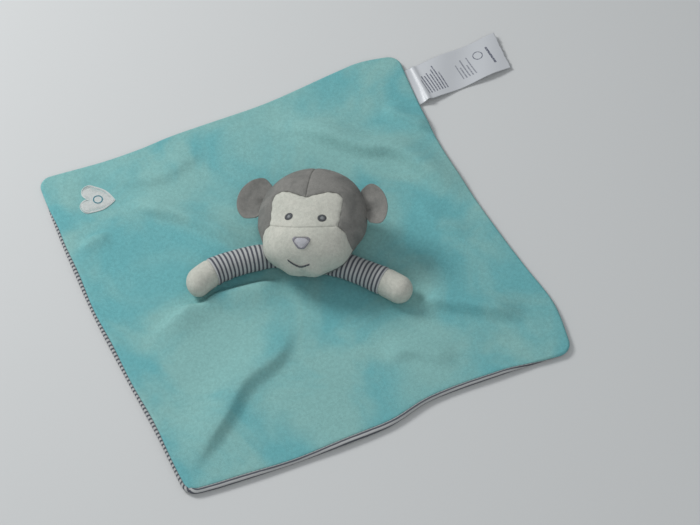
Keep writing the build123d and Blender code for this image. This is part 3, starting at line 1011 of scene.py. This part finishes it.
# %% Blow up a form as cloth
def copy_node(name, node):
    """A free copy of a CAD node's mesh, with its loose triangles joined."""
    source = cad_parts[node]
    piece = bpy.data.objects.new(name, source.data.copy())
    bpy.context.collection.objects.link(piece)
    pick(piece)
    bpy.ops.object.mode_set(mode="EDIT")
    bpy.ops.mesh.select_all(action="SELECT")
    bpy.ops.mesh.remove_doubles(threshold=0.01 * MM)
    bpy.ops.object.mode_set(mode="OBJECT")
    return piece


def remesh(piece, voxel):
    """An even mesh over the same form."""
    grid = piece.modifiers.new("even", "REMESH")
    grid.mode = "VOXEL"
    grid.voxel_size = voxel
    apply_modifiers(piece)


def blow_up(piece, pressure, cap, frames=20):
    """Cloth pushed out by its filling, each point by no more than the cap."""
    before = points_of(piece)
    cloth = piece.modifiers.new("Cloth", "CLOTH")
    cloth.settings.quality = 6
    cloth.settings.mass = 0.15
    cloth.settings.tension_stiffness = 20
    cloth.settings.compression_stiffness = 20
    cloth.settings.bending_stiffness = 0.6
    cloth.settings.use_pressure = True
    cloth.settings.uniform_pressure_force = pressure
    cloth.settings.effector_weights.gravity = 0
    cloth.point_cache.frame_start = 1
    cloth.point_cache.frame_end = frames
    for step in range(1, frames + 1):
        bpy.context.scene.frame_set(step)
    apply_modifiers(piece)
    bpy.context.scene.frame_set(1)
    moved = points_of(piece) - before
    far = np.linalg.norm(moved, axis=1, keepdims=True)
    place_points(piece, before + moved * np.minimum(1, cap / np.maximum(far, 1e-9)))
    print(piece.name, "swelled by up to", round(float(far.max() / MM), 2), "mm")


def subdivide(piece, levels):
    """Smooth subdivision."""
    smooth = piece.modifiers.new("smooth", "SUBSURF")
    smooth.levels = smooth.render_levels = levels
    apply_modifiers(piece)


HEAD_VOXEL = 3 * MM
HEAD_SKINS = ("crown_left", "crown_right", "head_back_left", "head_back_right")
HEAD_SKINS += ("face_mask", "muzzle")

head_form = copy_node("head_form", "head_stuffing")
remesh(head_form, HEAD_VOXEL)
blow_up(head_form, 4.0, 2.5 * MM)
subdivide(head_form, 2)
print("head form", len(head_form.data.vertices), "points")

# %% [markdown]
# ### Fit and soften the head
# Cloth under pressure ends up roughly the right size, so the form is stretched to the extent of
# the CAD skins, measured in the head's own directions. Then the stuffing's unevenness is put in
# one by one: fuller cheeks, a gather under the chin, and small hollows where the eyes and the nose
# are stitched down.


# %% Fit and soften
def cad_points(nodes, frame_matrix):
    """All the points of some CAD nodes, in a frame of their own."""
    return into(frame_matrix, np.vstack([points_of(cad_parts[node]) for node in nodes]))


def bulge(points, centre, reach, amount):
    """Push the points round a place outwards, or in where the amount is below zero."""
    away = (points - np.array(centre) * MM) / (np.array(reach) * MM)
    strength = np.exp(-np.sum(away**2, axis=1))
    heading = points / np.linalg.norm(points, axis=1, keepdims=True)
    return points + heading * (strength * amount * MM)[:, None]


local = into(head_frame, points_of(head_form))
target = cad_points(HEAD_SKINS, head_frame)
own_low, own_high = local.min(axis=0), local.max(axis=0)
low, high = target.min(axis=0), target.max(axis=0)
local = low + (local - own_low) * (high - low) / (own_high - own_low)

FACE_SHIFT = 1.8
EYES = {"left": (-10.6, -7.0), "right": (14.2, -7.6)}
NOSE_TOP = -24.2
# Each swell or hollow: its place, how far it reaches each way, and its height. Millimetres.
SWELLS = [
    ((-24, -28, 18), (13, 12, 16), 1.3),
    ((25, -27, 18), (13, 12, 16), 1.3),
    ((2, -24, 30), (12, 9, 12), 0.9),
    ((-2, -45, 12), (4, 6, 14), -1.6),
    ((9, -44, 14), (7, 6, 14), 1.0),
    ((-14, -42, 12), (8, 6, 14), 0.8),
    ((0, 12, 28), (5, 9, 10), -0.5),
]
SWELLS += [((eye_u, eye_v, 27), (5.5, 5.5, 9), -0.8) for eye_u, eye_v in EYES.values()]
for centre, reach, amount in SWELLS:
    local = bulge(local, centre, reach, amount)
lumps = np.sin(local[:, 0] / (9 * MM) + 1) * np.sin(local[:, 1] / (8 * MM))
lumps = lumps * np.sin(local[:, 2] / (10 * MM) + 2) * 0.35 * MM
local = local * (1 + lumps / np.linalg.norm(local, axis=1))[:, None]
print("head spans", np.round((local.max(axis=0) - local.min(axis=0)) / MM, 1), "mm")

# %% [markdown]
# ### Seams and panels
# The pattern's seams are lines on the face, the same as the CAD panels': the mask's edge, the
# muzzle's edge, the seam below the eyes, one seam from brow to nape and one round the side. A
# point near a seam is moved on to it, so panels meet along a clean line, and the skin is drawn in
# beside it, because the stitches pull the cloth down into the stuffing.

# %% The seams, in the head's own directions
SIDE_SEAM = -2 * MM
mask_side = [(26, -12), (26.4, -3), (27, 7)]
mask_top = [(27, 7), (26, 11.5), (22.5, 14.2), (16, 14.4), (9, 12), (0, 9)]
half_mask = list(flowing(mask_side, 10)) + list(flowing(mask_top, 10))[1:]
mask_edge = np.array(half_mask + [(-u, v) for u, v in half_mask[::-1][1:]]) * MM
muzzle_side = list(flowing([(26, -12), (31.5, -16), (34.5, -25)], 14)) + [(34.5, -70)]
muzzle_right = np.array(muzzle_side) * MM
muzzle_left = muzzle_right * (-1, 1)
waist_half = [(0, -17), (9, -16.2), (18, -14.4), (26, -12)]
waist_line = list(flowing(waist_half, 10))
waist_seam = np.array([(-u, v) for u, v in waist_line[::-1]] + waist_line[1:]) * MM
mask_outline = np.vstack([mask_edge, waist_seam])
muzzle_outline = np.vstack([muzzle_right, muzzle_left[::-1], waist_seam])


def nearest_on(line, places):
    """The nearest place on a line to each of many places, and how far it is."""
    best = np.full(len(places), 1e9)
    where = np.zeros_like(places)
    for a, b in zip(line[:-1], line[1:]):
        step = b - a
        share = np.clip((places - a) @ step / max(step @ step, 1e-12), 0, 1)
        spot = a + share[:, None] * step
        far = np.linalg.norm(places - spot, axis=1)
        closer = far < best
        best = np.where(closer, far, best)
        where[closer] = spot[closer]
    return where, best


def inside(outline, places):
    """Whether each place lies inside a closed outline."""
    within = np.zeros(len(places), bool)
    for a, b in zip(outline, np.roll(outline, -1, axis=0)):
        crosses = (a[1] > places[:, 1]) != (b[1] > places[:, 1])
        rise = b[1] - a[1] if b[1] != a[1] else 1e-12
        reach = a[0] + (b[0] - a[0]) * (places[:, 1] - a[1]) / rise
        within ^= crosses & (places[:, 0] < reach)
    return within


print("mask seam", len(mask_edge), "points, waist seam", len(waist_seam), "points")


# %% Give every face its panel
corners = np.empty(len(head_form.data.loops), int)
head_form.data.loops.foreach_get("vertex_index", corners)
corners = corners.reshape(-1, 4)
centres = local[corners].mean(axis=1)
is_front = centres[:, 2] > SIDE_SEAM
is_left = centres[:, 0] < 0
is_mask = is_front & inside(mask_outline, centres[:, :2])
is_muzzle = is_front & ~is_mask & inside(muzzle_outline, centres[:, :2])
is_face = is_mask | is_muzzle
is_crown = is_front & ~is_face


def shared(some_faces, other_faces):
    """The points at which faces of both kinds meet."""
    on_some, on_other = np.zeros((2, len(local)), bool)
    on_some[corners[some_faces]] = True
    on_other[corners[other_faces]] = True
    return on_some & on_other


print("faces of mask, muzzle, crown:", is_mask.sum(), is_muzzle.sum(), is_crown.sum())

# %% Slide the shared points on to the seams and draw the skin in
place_points(head_form, out_of(head_frame, local))
turn_back = np.array(head_frame.to_3x3())


def own_normals(piece):
    """The points' normals, in the head's own directions."""
    return np.array([vertex.normal for vertex in piece.data.vertices]) @ turn_back


def slide_on(chosen, line):
    """Slide the chosen points along the surface on to a seam."""
    spot, far = nearest_on(line, local[chosen, :2])
    step = spot - local[chosen, :2]
    facing = own_normals(head_form)[chosen]
    drop = (facing[:, :2] * step).sum(axis=1) / np.maximum(facing[:, 2], 0.4)
    local[chosen, 2] -= np.clip(drop, -MM, MM)
    local[chosen, :2] = spot


slide_on(shared(is_mask, is_crown), mask_edge)
slide_on(shared(is_muzzle & is_left, is_crown), muzzle_left)
slide_on(shared(is_muzzle & ~is_left, is_crown), muzzle_right)
slide_on(shared(is_mask, is_muzzle), waist_seam)
local[shared(is_front, ~is_front), 2] = SIDE_SEAM
local[shared(~is_face & is_left, ~is_face & ~is_left), 0] = 0

front = local[:, 2] > SIDE_SEAM - 0.5 * MM
flat = local[:, :2]
on_face_panel = np.zeros(len(local), bool)
on_face_panel[corners[is_face]] = True
edge_far = np.full(len(local), 1.0)
for line in (mask_edge, muzzle_right, muzzle_left):
    edge_far = np.minimum(edge_far, nearest_on(line, flat)[1])
edge_far = np.where(front, edge_far, 1.0)
waist_far = np.where(front, nearest_on(waist_seam, flat)[1], 1.0)
crown_far = np.where(on_face_panel, 1.0, np.abs(flat[:, 0]))
side_far = np.abs(local[:, 2] - SIDE_SEAM)


def drawn_in(far, depth, width):
    """How deep a seam draws the skin in: a narrow groove in a wider hollow."""
    groove = 0.65 * np.exp(-((far / width) ** 2)) + 0.35 * np.exp(-((far / (3 * width)) ** 2))
    return depth * groove


depth = drawn_in(edge_far, 0.9 * MM, 0.9 * MM)
depth = np.maximum(depth, drawn_in(waist_far, 0.45 * MM, 0.8 * MM))
depth = np.maximum(depth, drawn_in(crown_far, 0.7 * MM, 0.8 * MM))
depth = np.maximum(depth, drawn_in(side_far, 0.7 * MM, 0.9 * MM))
pucker = 1 + 0.35 * np.sin(flat[:, 0] / (1.1 * MM)) * np.sin(flat[:, 1] / (1.3 * MM))
place_points(head_form, out_of(head_frame, local))
normals = own_normals(head_form) @ turn_back.T
place_points(head_form, points_of(head_form) - normals * (depth * pucker)[:, None])
head_surface = BVHTree.FromPolygons(
    [tuple(point) for point in points_of(head_form)],
    [tuple(face.vertices) for face in head_form.data.polygons],
)
print("seams drawn in by up to", round(float(depth.max() / MM), 2), "mm")


# %% Separate the panels
def take_faces(source, name, wanted):
    """A new piece from the faces of another that are wanted."""
    piece = source.copy()
    piece.data = source.data.copy()
    piece.name = piece.data.name = name
    bpy.context.collection.objects.link(piece)
    shape = bmesh.new()
    shape.from_mesh(piece.data)
    shape.faces.ensure_lookup_table()
    unwanted = [face for face, keep in zip(shape.faces, wanted) if not keep]
    bmesh.ops.delete(shape, geom=unwanted, context="FACES")
    shape.to_mesh(piece.data)
    shape.free()
    return piece


SKIN = 1.1 * MM
WADDING_GAP = 0.3 * MM
PANELS = {
    "crown_left": (is_crown & is_left, grey_velour, "velour_grey"),
    "crown_right": (is_crown & ~is_left, grey_velour, "velour_grey"),
    "head_back_left": (~is_front & is_left, grey_velour, "velour_grey"),
    "head_back_right": (~is_front & ~is_left, grey_velour, "velour_grey"),
    "face_mask": (is_mask, cream_velour, "velour_cream"),
    "muzzle": (is_muzzle, cream_velour, "velour_cream"),
}
for node, (wanted, material, slot_name) in PANELS.items():
    panel = take_faces(head_form, node + "_panel", wanted)
    thicken(panel, SKIN)
    finish_piece(panel, material)
    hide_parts(node)
    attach(panel, "head")
    print(panel.name, len(panel.data.polygons), "faces")

wadding = head_form
wadding.name = wadding.data.name = "head_wadding"
place_points(wadding, points_of(wadding) - normals * (SKIN + WADDING_GAP))
finish_piece(wadding, fibre_wadding)
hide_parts("head_stuffing")
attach(wadding, "head")
print("wadding", len(wadding.data.polygons), "faces")

# %% [markdown]
# ### The face
# Eyes, nose and mouth are embroidered, so that nothing can come off. Each eye is a ring of
# stitches round a few pale ones. The nose is filled with rows of silver thread and edged with
# short stitches across its outline. The mouth is a line of overlapping back stitches. Every
# stitch end is found by a ray from in front of the face, so the thread follows the cloth.


# %% Eyes
def on_face(u, v, up):
    """A place on the head's front, in millimetres across, up and above the cloth."""
    start = head_frame @ (Vector((u, v, 60)) * MM)
    ahead = head_frame.to_3x3() @ Vector((0, 0, -1))
    spot, facing, face, far = head_surface.ray_cast(start, ahead)
    return tuple(spot + facing * up * MM)


def embroider(name, node, runs, radius, material):
    """A patch of stitches on the head that stands for a CAD node."""
    patch = stitch_patch(name, runs, radius * MM, material)
    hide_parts(node)
    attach(patch, "head")
    return patch


EYE_THREADS = 38
for side_name, (eye_u, eye_v) in EYES.items():
    iris_runs = []
    for angle in np.linspace(0, 2 * math.pi, EYE_THREADS, endpoint=False):
        u, v = math.cos(angle), math.sin(angle)
        spoke = ((1.25, 0.1), (2.2, 0.55), (3.15, 0.05))
        iris_runs.append([on_face(eye_u + r * u, eye_v + r * v, up) for r, up in spoke])
    embroider(
        f"iris_stitches_{side_name}", f"eye_{side_name}", iris_runs, 0.27, iris_thread
    )
    # The pale stitches in each eye's middle are a painted highlight: lighter thread where the eye
    # catches the light.
    glint_runs = []
    for row in np.arange(-1.05, 1.1, 0.42):
        half = math.sqrt(1.4**2 - row**2)
        glint = ((-half, 0.15), (0, 0.5), (half, 0.15))
        glint_runs.append([on_face(eye_u + u, eye_v + row, up) for u, up in glint])
    embroider(
        f"glint_stitches_{side_name}",
        f"eye_glint_{side_name}",
        glint_runs,
        0.23,
        glint_thread,
    )
print("eyes of", EYE_THREADS, "stitches")

# %% Nose and mouth
NOSE_HALF = 6.5
NOSE_DEEP = 8.0
NOSE_EDGE = 1.4


def nose_outline(shrink):
    """The nose: flat on top, rounded and narrowing below."""
    half, top, bottom = NOSE_HALF - shrink, -shrink, shrink - NOSE_DEEP
    side = [(0.72 * half, top), (0.98 * half, top - 1.1), (half, top - 2.3)]
    side += [(0.78 * half, 0.4 * top + 0.6 * bottom), (0.4 * half, bottom + 0.5), (0, bottom)]
    side = [(0, top), (0.36 * half, top)] + list(flowing(side, 5))
    across = [(-u, v) for u, v in side[::-1][1:-1]]
    return np.array(side + across) + (FACE_SHIFT, NOSE_TOP)


fill_runs = []
for v, start, end in rows_across(nose_outline(0.9), 0.47):
    shares = np.linspace(0, 1, 6)
    fill_runs.append(
        [on_face(start + (end - start) * s, v, 0.1 + 0.5 * math.sin(math.pi * s)) for s in shares]
    )
embroider("nose_fill_stitches", "nose_fill", fill_runs, 0.25, silver_thread)

BORDER_STEPS = 3
border_runs = []
outer_edge, inner_edge = nose_outline(0), nose_outline(NOSE_EDGE)
for i in range(len(outer_edge)):
    for step in range(BORDER_STEPS):
        share = step / BORDER_STEPS
        out = outer_edge[i - 1] * (1 - share) + outer_edge[i] * share
        inn = inner_edge[i - 1] * (1 - share) + inner_edge[i] * share
        middle = (out + inn) / 2
        border_runs.append([on_face(*out, 0.05), on_face(*middle, 0.75), on_face(*inn, 0.2)])
embroider("nose_border_stitches", "nose_border", border_runs, 0.24, border_thread)

smile = flowing([(-9.4, -38.0), (-5.0, -40.0), (1.7, -41.0), (8.2, -39.8)], 9)
mouth_runs = []
for first in range(0, len(smile) - 4, 3):
    rises = (0.05, 0.3, 0.4, 0.3, 0.05)
    for strand in (-0.22, 0.22):
        stitch = zip(smile[first : first + 5], rises)
        mouth_runs.append([on_face(u, v + strand, up) for (u, v), up in stitch])
embroider("mouth_stitches", "mouth", mouth_runs, 0.26, mouth_thread)
print("nose of", len(fill_runs) + len(border_runs), "stitches, mouth of", len(mouth_runs))

# %% [markdown]
# ## Ears
# An ear is two discs of velour sewn together round the rim, turned out, and caught in the head's
# side seam. It has no filling, so it keeps the thickness of its own turned edges, cups forwards
# and has a fold where the seam pinches its root. A square grid pressed on to a disc gives even
# faces with no pole. The part that is sewn in is pressed together behind the head's skin.

# %% Ears
CRANIUM_HALF = 41.0
CRANIUM_UP = 39.0
CRANIUM_RAISED = 3.0
EAR_V = 16.0
EAR_GAP = 0.4
EAR_RADIUS = 15.5
EAR_CENTRE = 4.5
EAR_HALF_THICK = 2.3
EAR_CUP = 5.2
EAR_TALL = 1.13
# The right ear is caught lower and lies back more than the left one.
EAR_REACH = {"left": 1.0, "right": 0.76}
EAR_DROP = {"left": 0.6, "right": 3.4}
EAR_SKIN = 0.8 * MM
EAR_LINES = 44


def ear_frame(side):
    """Where an ear is sewn on: x out of the head, y up along its side seam, z forwards."""
    raised = EAR_V - CRANIUM_RAISED
    reach = CRANIUM_HALF * math.sqrt(1 - (raised / CRANIUM_UP) ** 2)
    out = Vector((side * reach / CRANIUM_HALF**2, raised / CRANIUM_UP**2, 0)).normalized()
    root = (Vector((side * reach, EAR_V, 0)) + out * EAR_GAP) * MM
    turned = Matrix((out, Vector((0, 0, 1)).cross(out), Vector((0, 0, 1)))).transposed()
    return head_frame @ Matrix.Translation(root) @ turned.to_4x4()


def ear_panel(side_name, side, layer, over):
    """One of an ear's two panels: over is 1 for the front and -1 for the back."""
    panel, s, t = new_grid(f"ear_{side_name}_{layer}_panel", EAR_LINES, EAR_LINES)
    a, b = 2 * s - 1, 2 * t - 1
    disc_x, disc_y = a * np.sqrt(1 - b**2 / 2), b * np.sqrt(1 - a**2 / 2)
    rim = np.clip(disc_x**2 + disc_y**2, 0, 1)
    x = (EAR_CENTRE + EAR_RADIUS * disc_x) * EAR_REACH[side_name]
    y = EAR_RADIUS * EAR_TALL * disc_y
    root = 1 - ease(x, -2, 9)
    z = 2.0 - EAR_CUP * (1 - rim) + over * EAR_HALF_THICK * (1 - rim) ** 0.45
    z -= (2.3 if over > 0 else 0.4) * root * np.exp(-((y / 3.0) ** 2))
    z += 0.5 * np.sin(x / 4.1 + side) * np.sin(y / 3.6 + 1) * (1 - rim)
    x = np.where(x < -1, -1 + (x + 1) * 0.35, x)
    y = side * y * (1 - 0.16 * root) - EAR_DROP[side_name] * side
    place_points(panel, out_of(ear_frame(side), np.stack([x, y, z], axis=1) * MM))
    if over * side < 0:
        panel.data.flip_normals()
    thicken(panel, EAR_SKIN)
    finish_piece(panel, grey_velour)
    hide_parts(f"ear_{side_name}_{layer}")
    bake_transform(panel)
    return panel


for side_name, side in (("left", -1), ("right", 1)):
    for layer, over in (("front", 1), ("back", -1)):
        panel = ear_panel(side_name, side, layer, over)
        print(panel.name, len(panel.data.polygons), "faces")

# %% [markdown]
# ## Neck
# The head is sewn to the cloth round its neck. The velour is gathered into small pleats there, a
# short tube that joins the flat flange to the head.

# %% Neck gather
NECK_RADIUS = 12.0 * MM
NECK_FLARE = 1.5 * MM
NECK_PLEATS = 16
PLEAT_DEPTH = 0.35 * MM
NECK_LOW = CLOTH_TOP + 1.2 * MM
NECK_HIGH = CLOTH_TOP + 3.4 * MM

gather, s, t = new_grid("neck_gather", 128, 8)
angle = 2 * math.pi * s
radius = NECK_RADIUS + NECK_FLARE * t + PLEAT_DEPTH * np.sin(NECK_PLEATS * angle)
z = NECK_LOW + (NECK_HIGH - NECK_LOW) * t
place_points(gather, np.stack([radius * np.cos(angle), radius * np.sin(angle), z], axis=1))


def close_up(piece):
    """Merge the points that meet, and turn every face outwards."""
    pick(piece)
    bpy.ops.object.mode_set(mode="EDIT")
    bpy.ops.mesh.select_all(action="SELECT")
    bpy.ops.mesh.remove_doubles(threshold=0.01 * MM)
    bpy.ops.mesh.normals_make_consistent(inside=False)
    bpy.ops.object.mode_set(mode="OBJECT")


close_up(gather)
thicken(gather, 0.8 * MM)
finish_piece(gather, grey_velour)
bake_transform(gather)

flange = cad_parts["neck_flange"]
flange.data.materials.clear()
flange.data.materials.append(grey_velour)
print("neck gather", len(gather.data.polygons), "faces")

# %% [markdown]
# ## Arms
# Each arm is a sleeve of striped jersey with a mitten hand of velour, filled with fibre. It is
# flat where it is caught under the head and opens to full roundness as it comes out. One grid is
# rolled into a closed tube along the arm's arc; its map keeps the length along the arm, so the
# stripes run round it. The tube is blown up as cloth, then parted at the cuff.

# %% The arm's form
ARM_ROOT = 5.0
CUFF = 58.0
ARM_CREASE = 41.0
ARM_GAP = 0.4 * MM
CREASE_RADIUS = 9.8
HAND_RADIUS = 10.4
ROOT_HALF_WIDTH = 6.0
ROOT_THICK = 1.6
# The stretch in which a flat root opens to full thickness, as the head above it leaves room.
ARM_OPENS = {"left": (1, 19), "right": (7, 29)}
ARM_ROWS = 96
ARM_SIDES = 48
ARM_SKIN = 0.7 * MM
# The share of a tube's rows that run along the arm. The rest close its rounded end.
ARM_STRAIGHT = 0.84
CUFF_PINCH = 0.075
HEAD_GAP = 0.7 * MM
ARM_END = ARM_LENGTH / MM
HAND_MIDDLE = ARM_END - HAND_RADIUS


def arm_section(far, side_name):
    """Half the width, the height and the middle's height of an arm at distances along it."""
    radius = np.interp(far, [ARM_CREASE, CUFF], [CREASE_RADIUS, HAND_RADIUS])
    half = np.interp(far, [ARM_ROOT, 20, ARM_CREASE], [ROOT_HALF_WIDTH, 9.4, CREASE_RADIUS])
    half = np.where(far > ARM_CREASE, radius, half)
    height = ROOT_THICK + (2 * radius - ROOT_THICK) * ease(far, *ARM_OPENS[side_name])
    closing = np.sqrt(np.clip((far - ARM_ROOT) / 2, 0, 1))
    rounding = np.sqrt(np.clip(1 - (np.clip(far - HAND_MIDDLE, 0, None) / HAND_RADIUS) ** 2, 0, 1))
    return half * closing * rounding, height * closing * rounding, height / 2


def arm_tube(name, side_name, start, inset):
    """A closed tube along an arm from a distance along it, smaller all round by an inset."""
    tube, s, t = new_grid(name, ARM_ROWS, ARM_SIDES)
    far = start + (HAND_MIDDLE - start) * np.clip(s / ARM_STRAIGHT, 0, 1)
    round_end = np.clip((s - ARM_STRAIGHT) / (1 - ARM_STRAIGHT), 0, 1)
    far = far + HAND_RADIUS * np.sin(round_end * math.pi / 2)
    half, height, middle = arm_section(far, side_name)
    angle = 2 * math.pi * t
    cuff = 1 - CUFF_PINCH * np.exp(-(((far - CUFF) / 0.9) ** 2))
    cuff += 0.03 * ease(far, CUFF - 6, CUFF - 1) * (far < CUFF)
    side = ARM_ARCS[side_name][0]
    inner = 0.5 - 0.5 * side * np.cos(angle)
    ripples = np.sin(far / 1.75 + 0.6 * np.sin(angle * 2 + side)) * np.sin(far / 5.3 + side)
    ripples = 0.42 * ripples * inner * ease(far, 36, 44) * (1 - ease(far, CUFF - 5, CUFF))
    smaller = np.clip(1 - inset / np.maximum(half, 0.01), 0, 1)
    across = (half * cuff + ripples * (height > 4)) * np.cos(angle) * smaller
    up = middle + (height / 2 * cuff + ripples * (height > 4)) * np.sin(angle) * smaller
    rows, places = np.unique(far, return_inverse=True)
    spots = [arm_place(side_name, row * MM) for row in rows]
    origins = np.array([spot for spot, heading in spots])[places]
    headings = np.array([heading for spot, heading in spots])[places]
    sideways = np.cross(np.array([0, 0, 1.0]), headings)
    points = origins + sideways * (across * MM)[:, None]
    points[:, 2] = CLOTH_TOP + ARM_GAP + up * MM
    write_flat_map(tube, far * MM, t * 2 * math.pi * HAND_RADIUS * MM)
    place_points(tube, points)
    close_up(tube)
    return tube


print("arm sections at crease and cuff", arm_section(np.array([ARM_CREASE, CUFF]), "left"))


# %% Sleeves, hands and their wadding
def along_arm(tube):
    """Each face's distance along its arm, read from the tube's flat map."""
    count = len(tube.data.loops)
    places = np.empty(count * 2)
    tube.data.uv_layers[0].data.foreach_get("uv", places)
    starts = np.empty(len(tube.data.polygons), int)
    sizes = np.empty(len(tube.data.polygons), int)
    tube.data.polygons.foreach_get("loop_start", starts)
    tube.data.polygons.foreach_get("loop_total", sizes)
    return np.add.reduceat(places[::2], starts) / sizes / MM


def press_under_head(tube):
    """Press an arm down wherever the head lies on it, as soft stuffing gives way."""
    points = points_of(tube)
    lowest = CLOTH_TOP + ARM_GAP
    for place in points:
        below = Vector((place[0], place[1], 0))
        spot, facing, face, far = head_surface.ray_cast(below, Vector((0, 0, 1)))
        if spot is not None:
            place[2] = min(place[2], max(spot.z - HEAD_GAP, lowest))
    place_points(tube, points)


for side_name in ARM_ARCS:
    body = f"arm_{side_name}"
    tube = arm_tube(f"arm_form_{side_name}", side_name, ARM_ROOT, 0)
    blow_up(tube, 1.5, 0.5 * MM, 10)
    press_under_head(tube)
    place = along_arm(tube)
    sleeve = take_faces(tube, f"sleeve_{side_name}_cloth", place < CUFF)
    thicken(sleeve, ARM_SKIN)
    finish_piece(sleeve, striped_jersey)
    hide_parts(f"sleeve_{side_name}", f"sleeve_root_{side_name}")
    hinge, heading = arm_place(side_name, ARM_CREASE * MM)
    hinge.z = CLOTH_TOP + ARM_GAP
    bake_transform(sleeve)

    hand = take_faces(tube, f"hand_{side_name}_cloth", place >= CUFF)
    thicken(hand, ARM_SKIN)
    finish_piece(hand, cream_velour)
    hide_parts(f"hand_{side_name}")
    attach(hand, body)
    bpy.data.objects.remove(tube)

    filling = arm_tube(f"arm_wadding_{side_name}", side_name, ARM_CREASE + 3, 2.2)
    press_under_head(filling)
    finish_piece(filling, fibre_wadding)
    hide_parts(f"arm_stuffing_{side_name}")
    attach(filling, body)
    print(body, len(sleeve.data.polygons), len(hand.data.polygons), "faces")
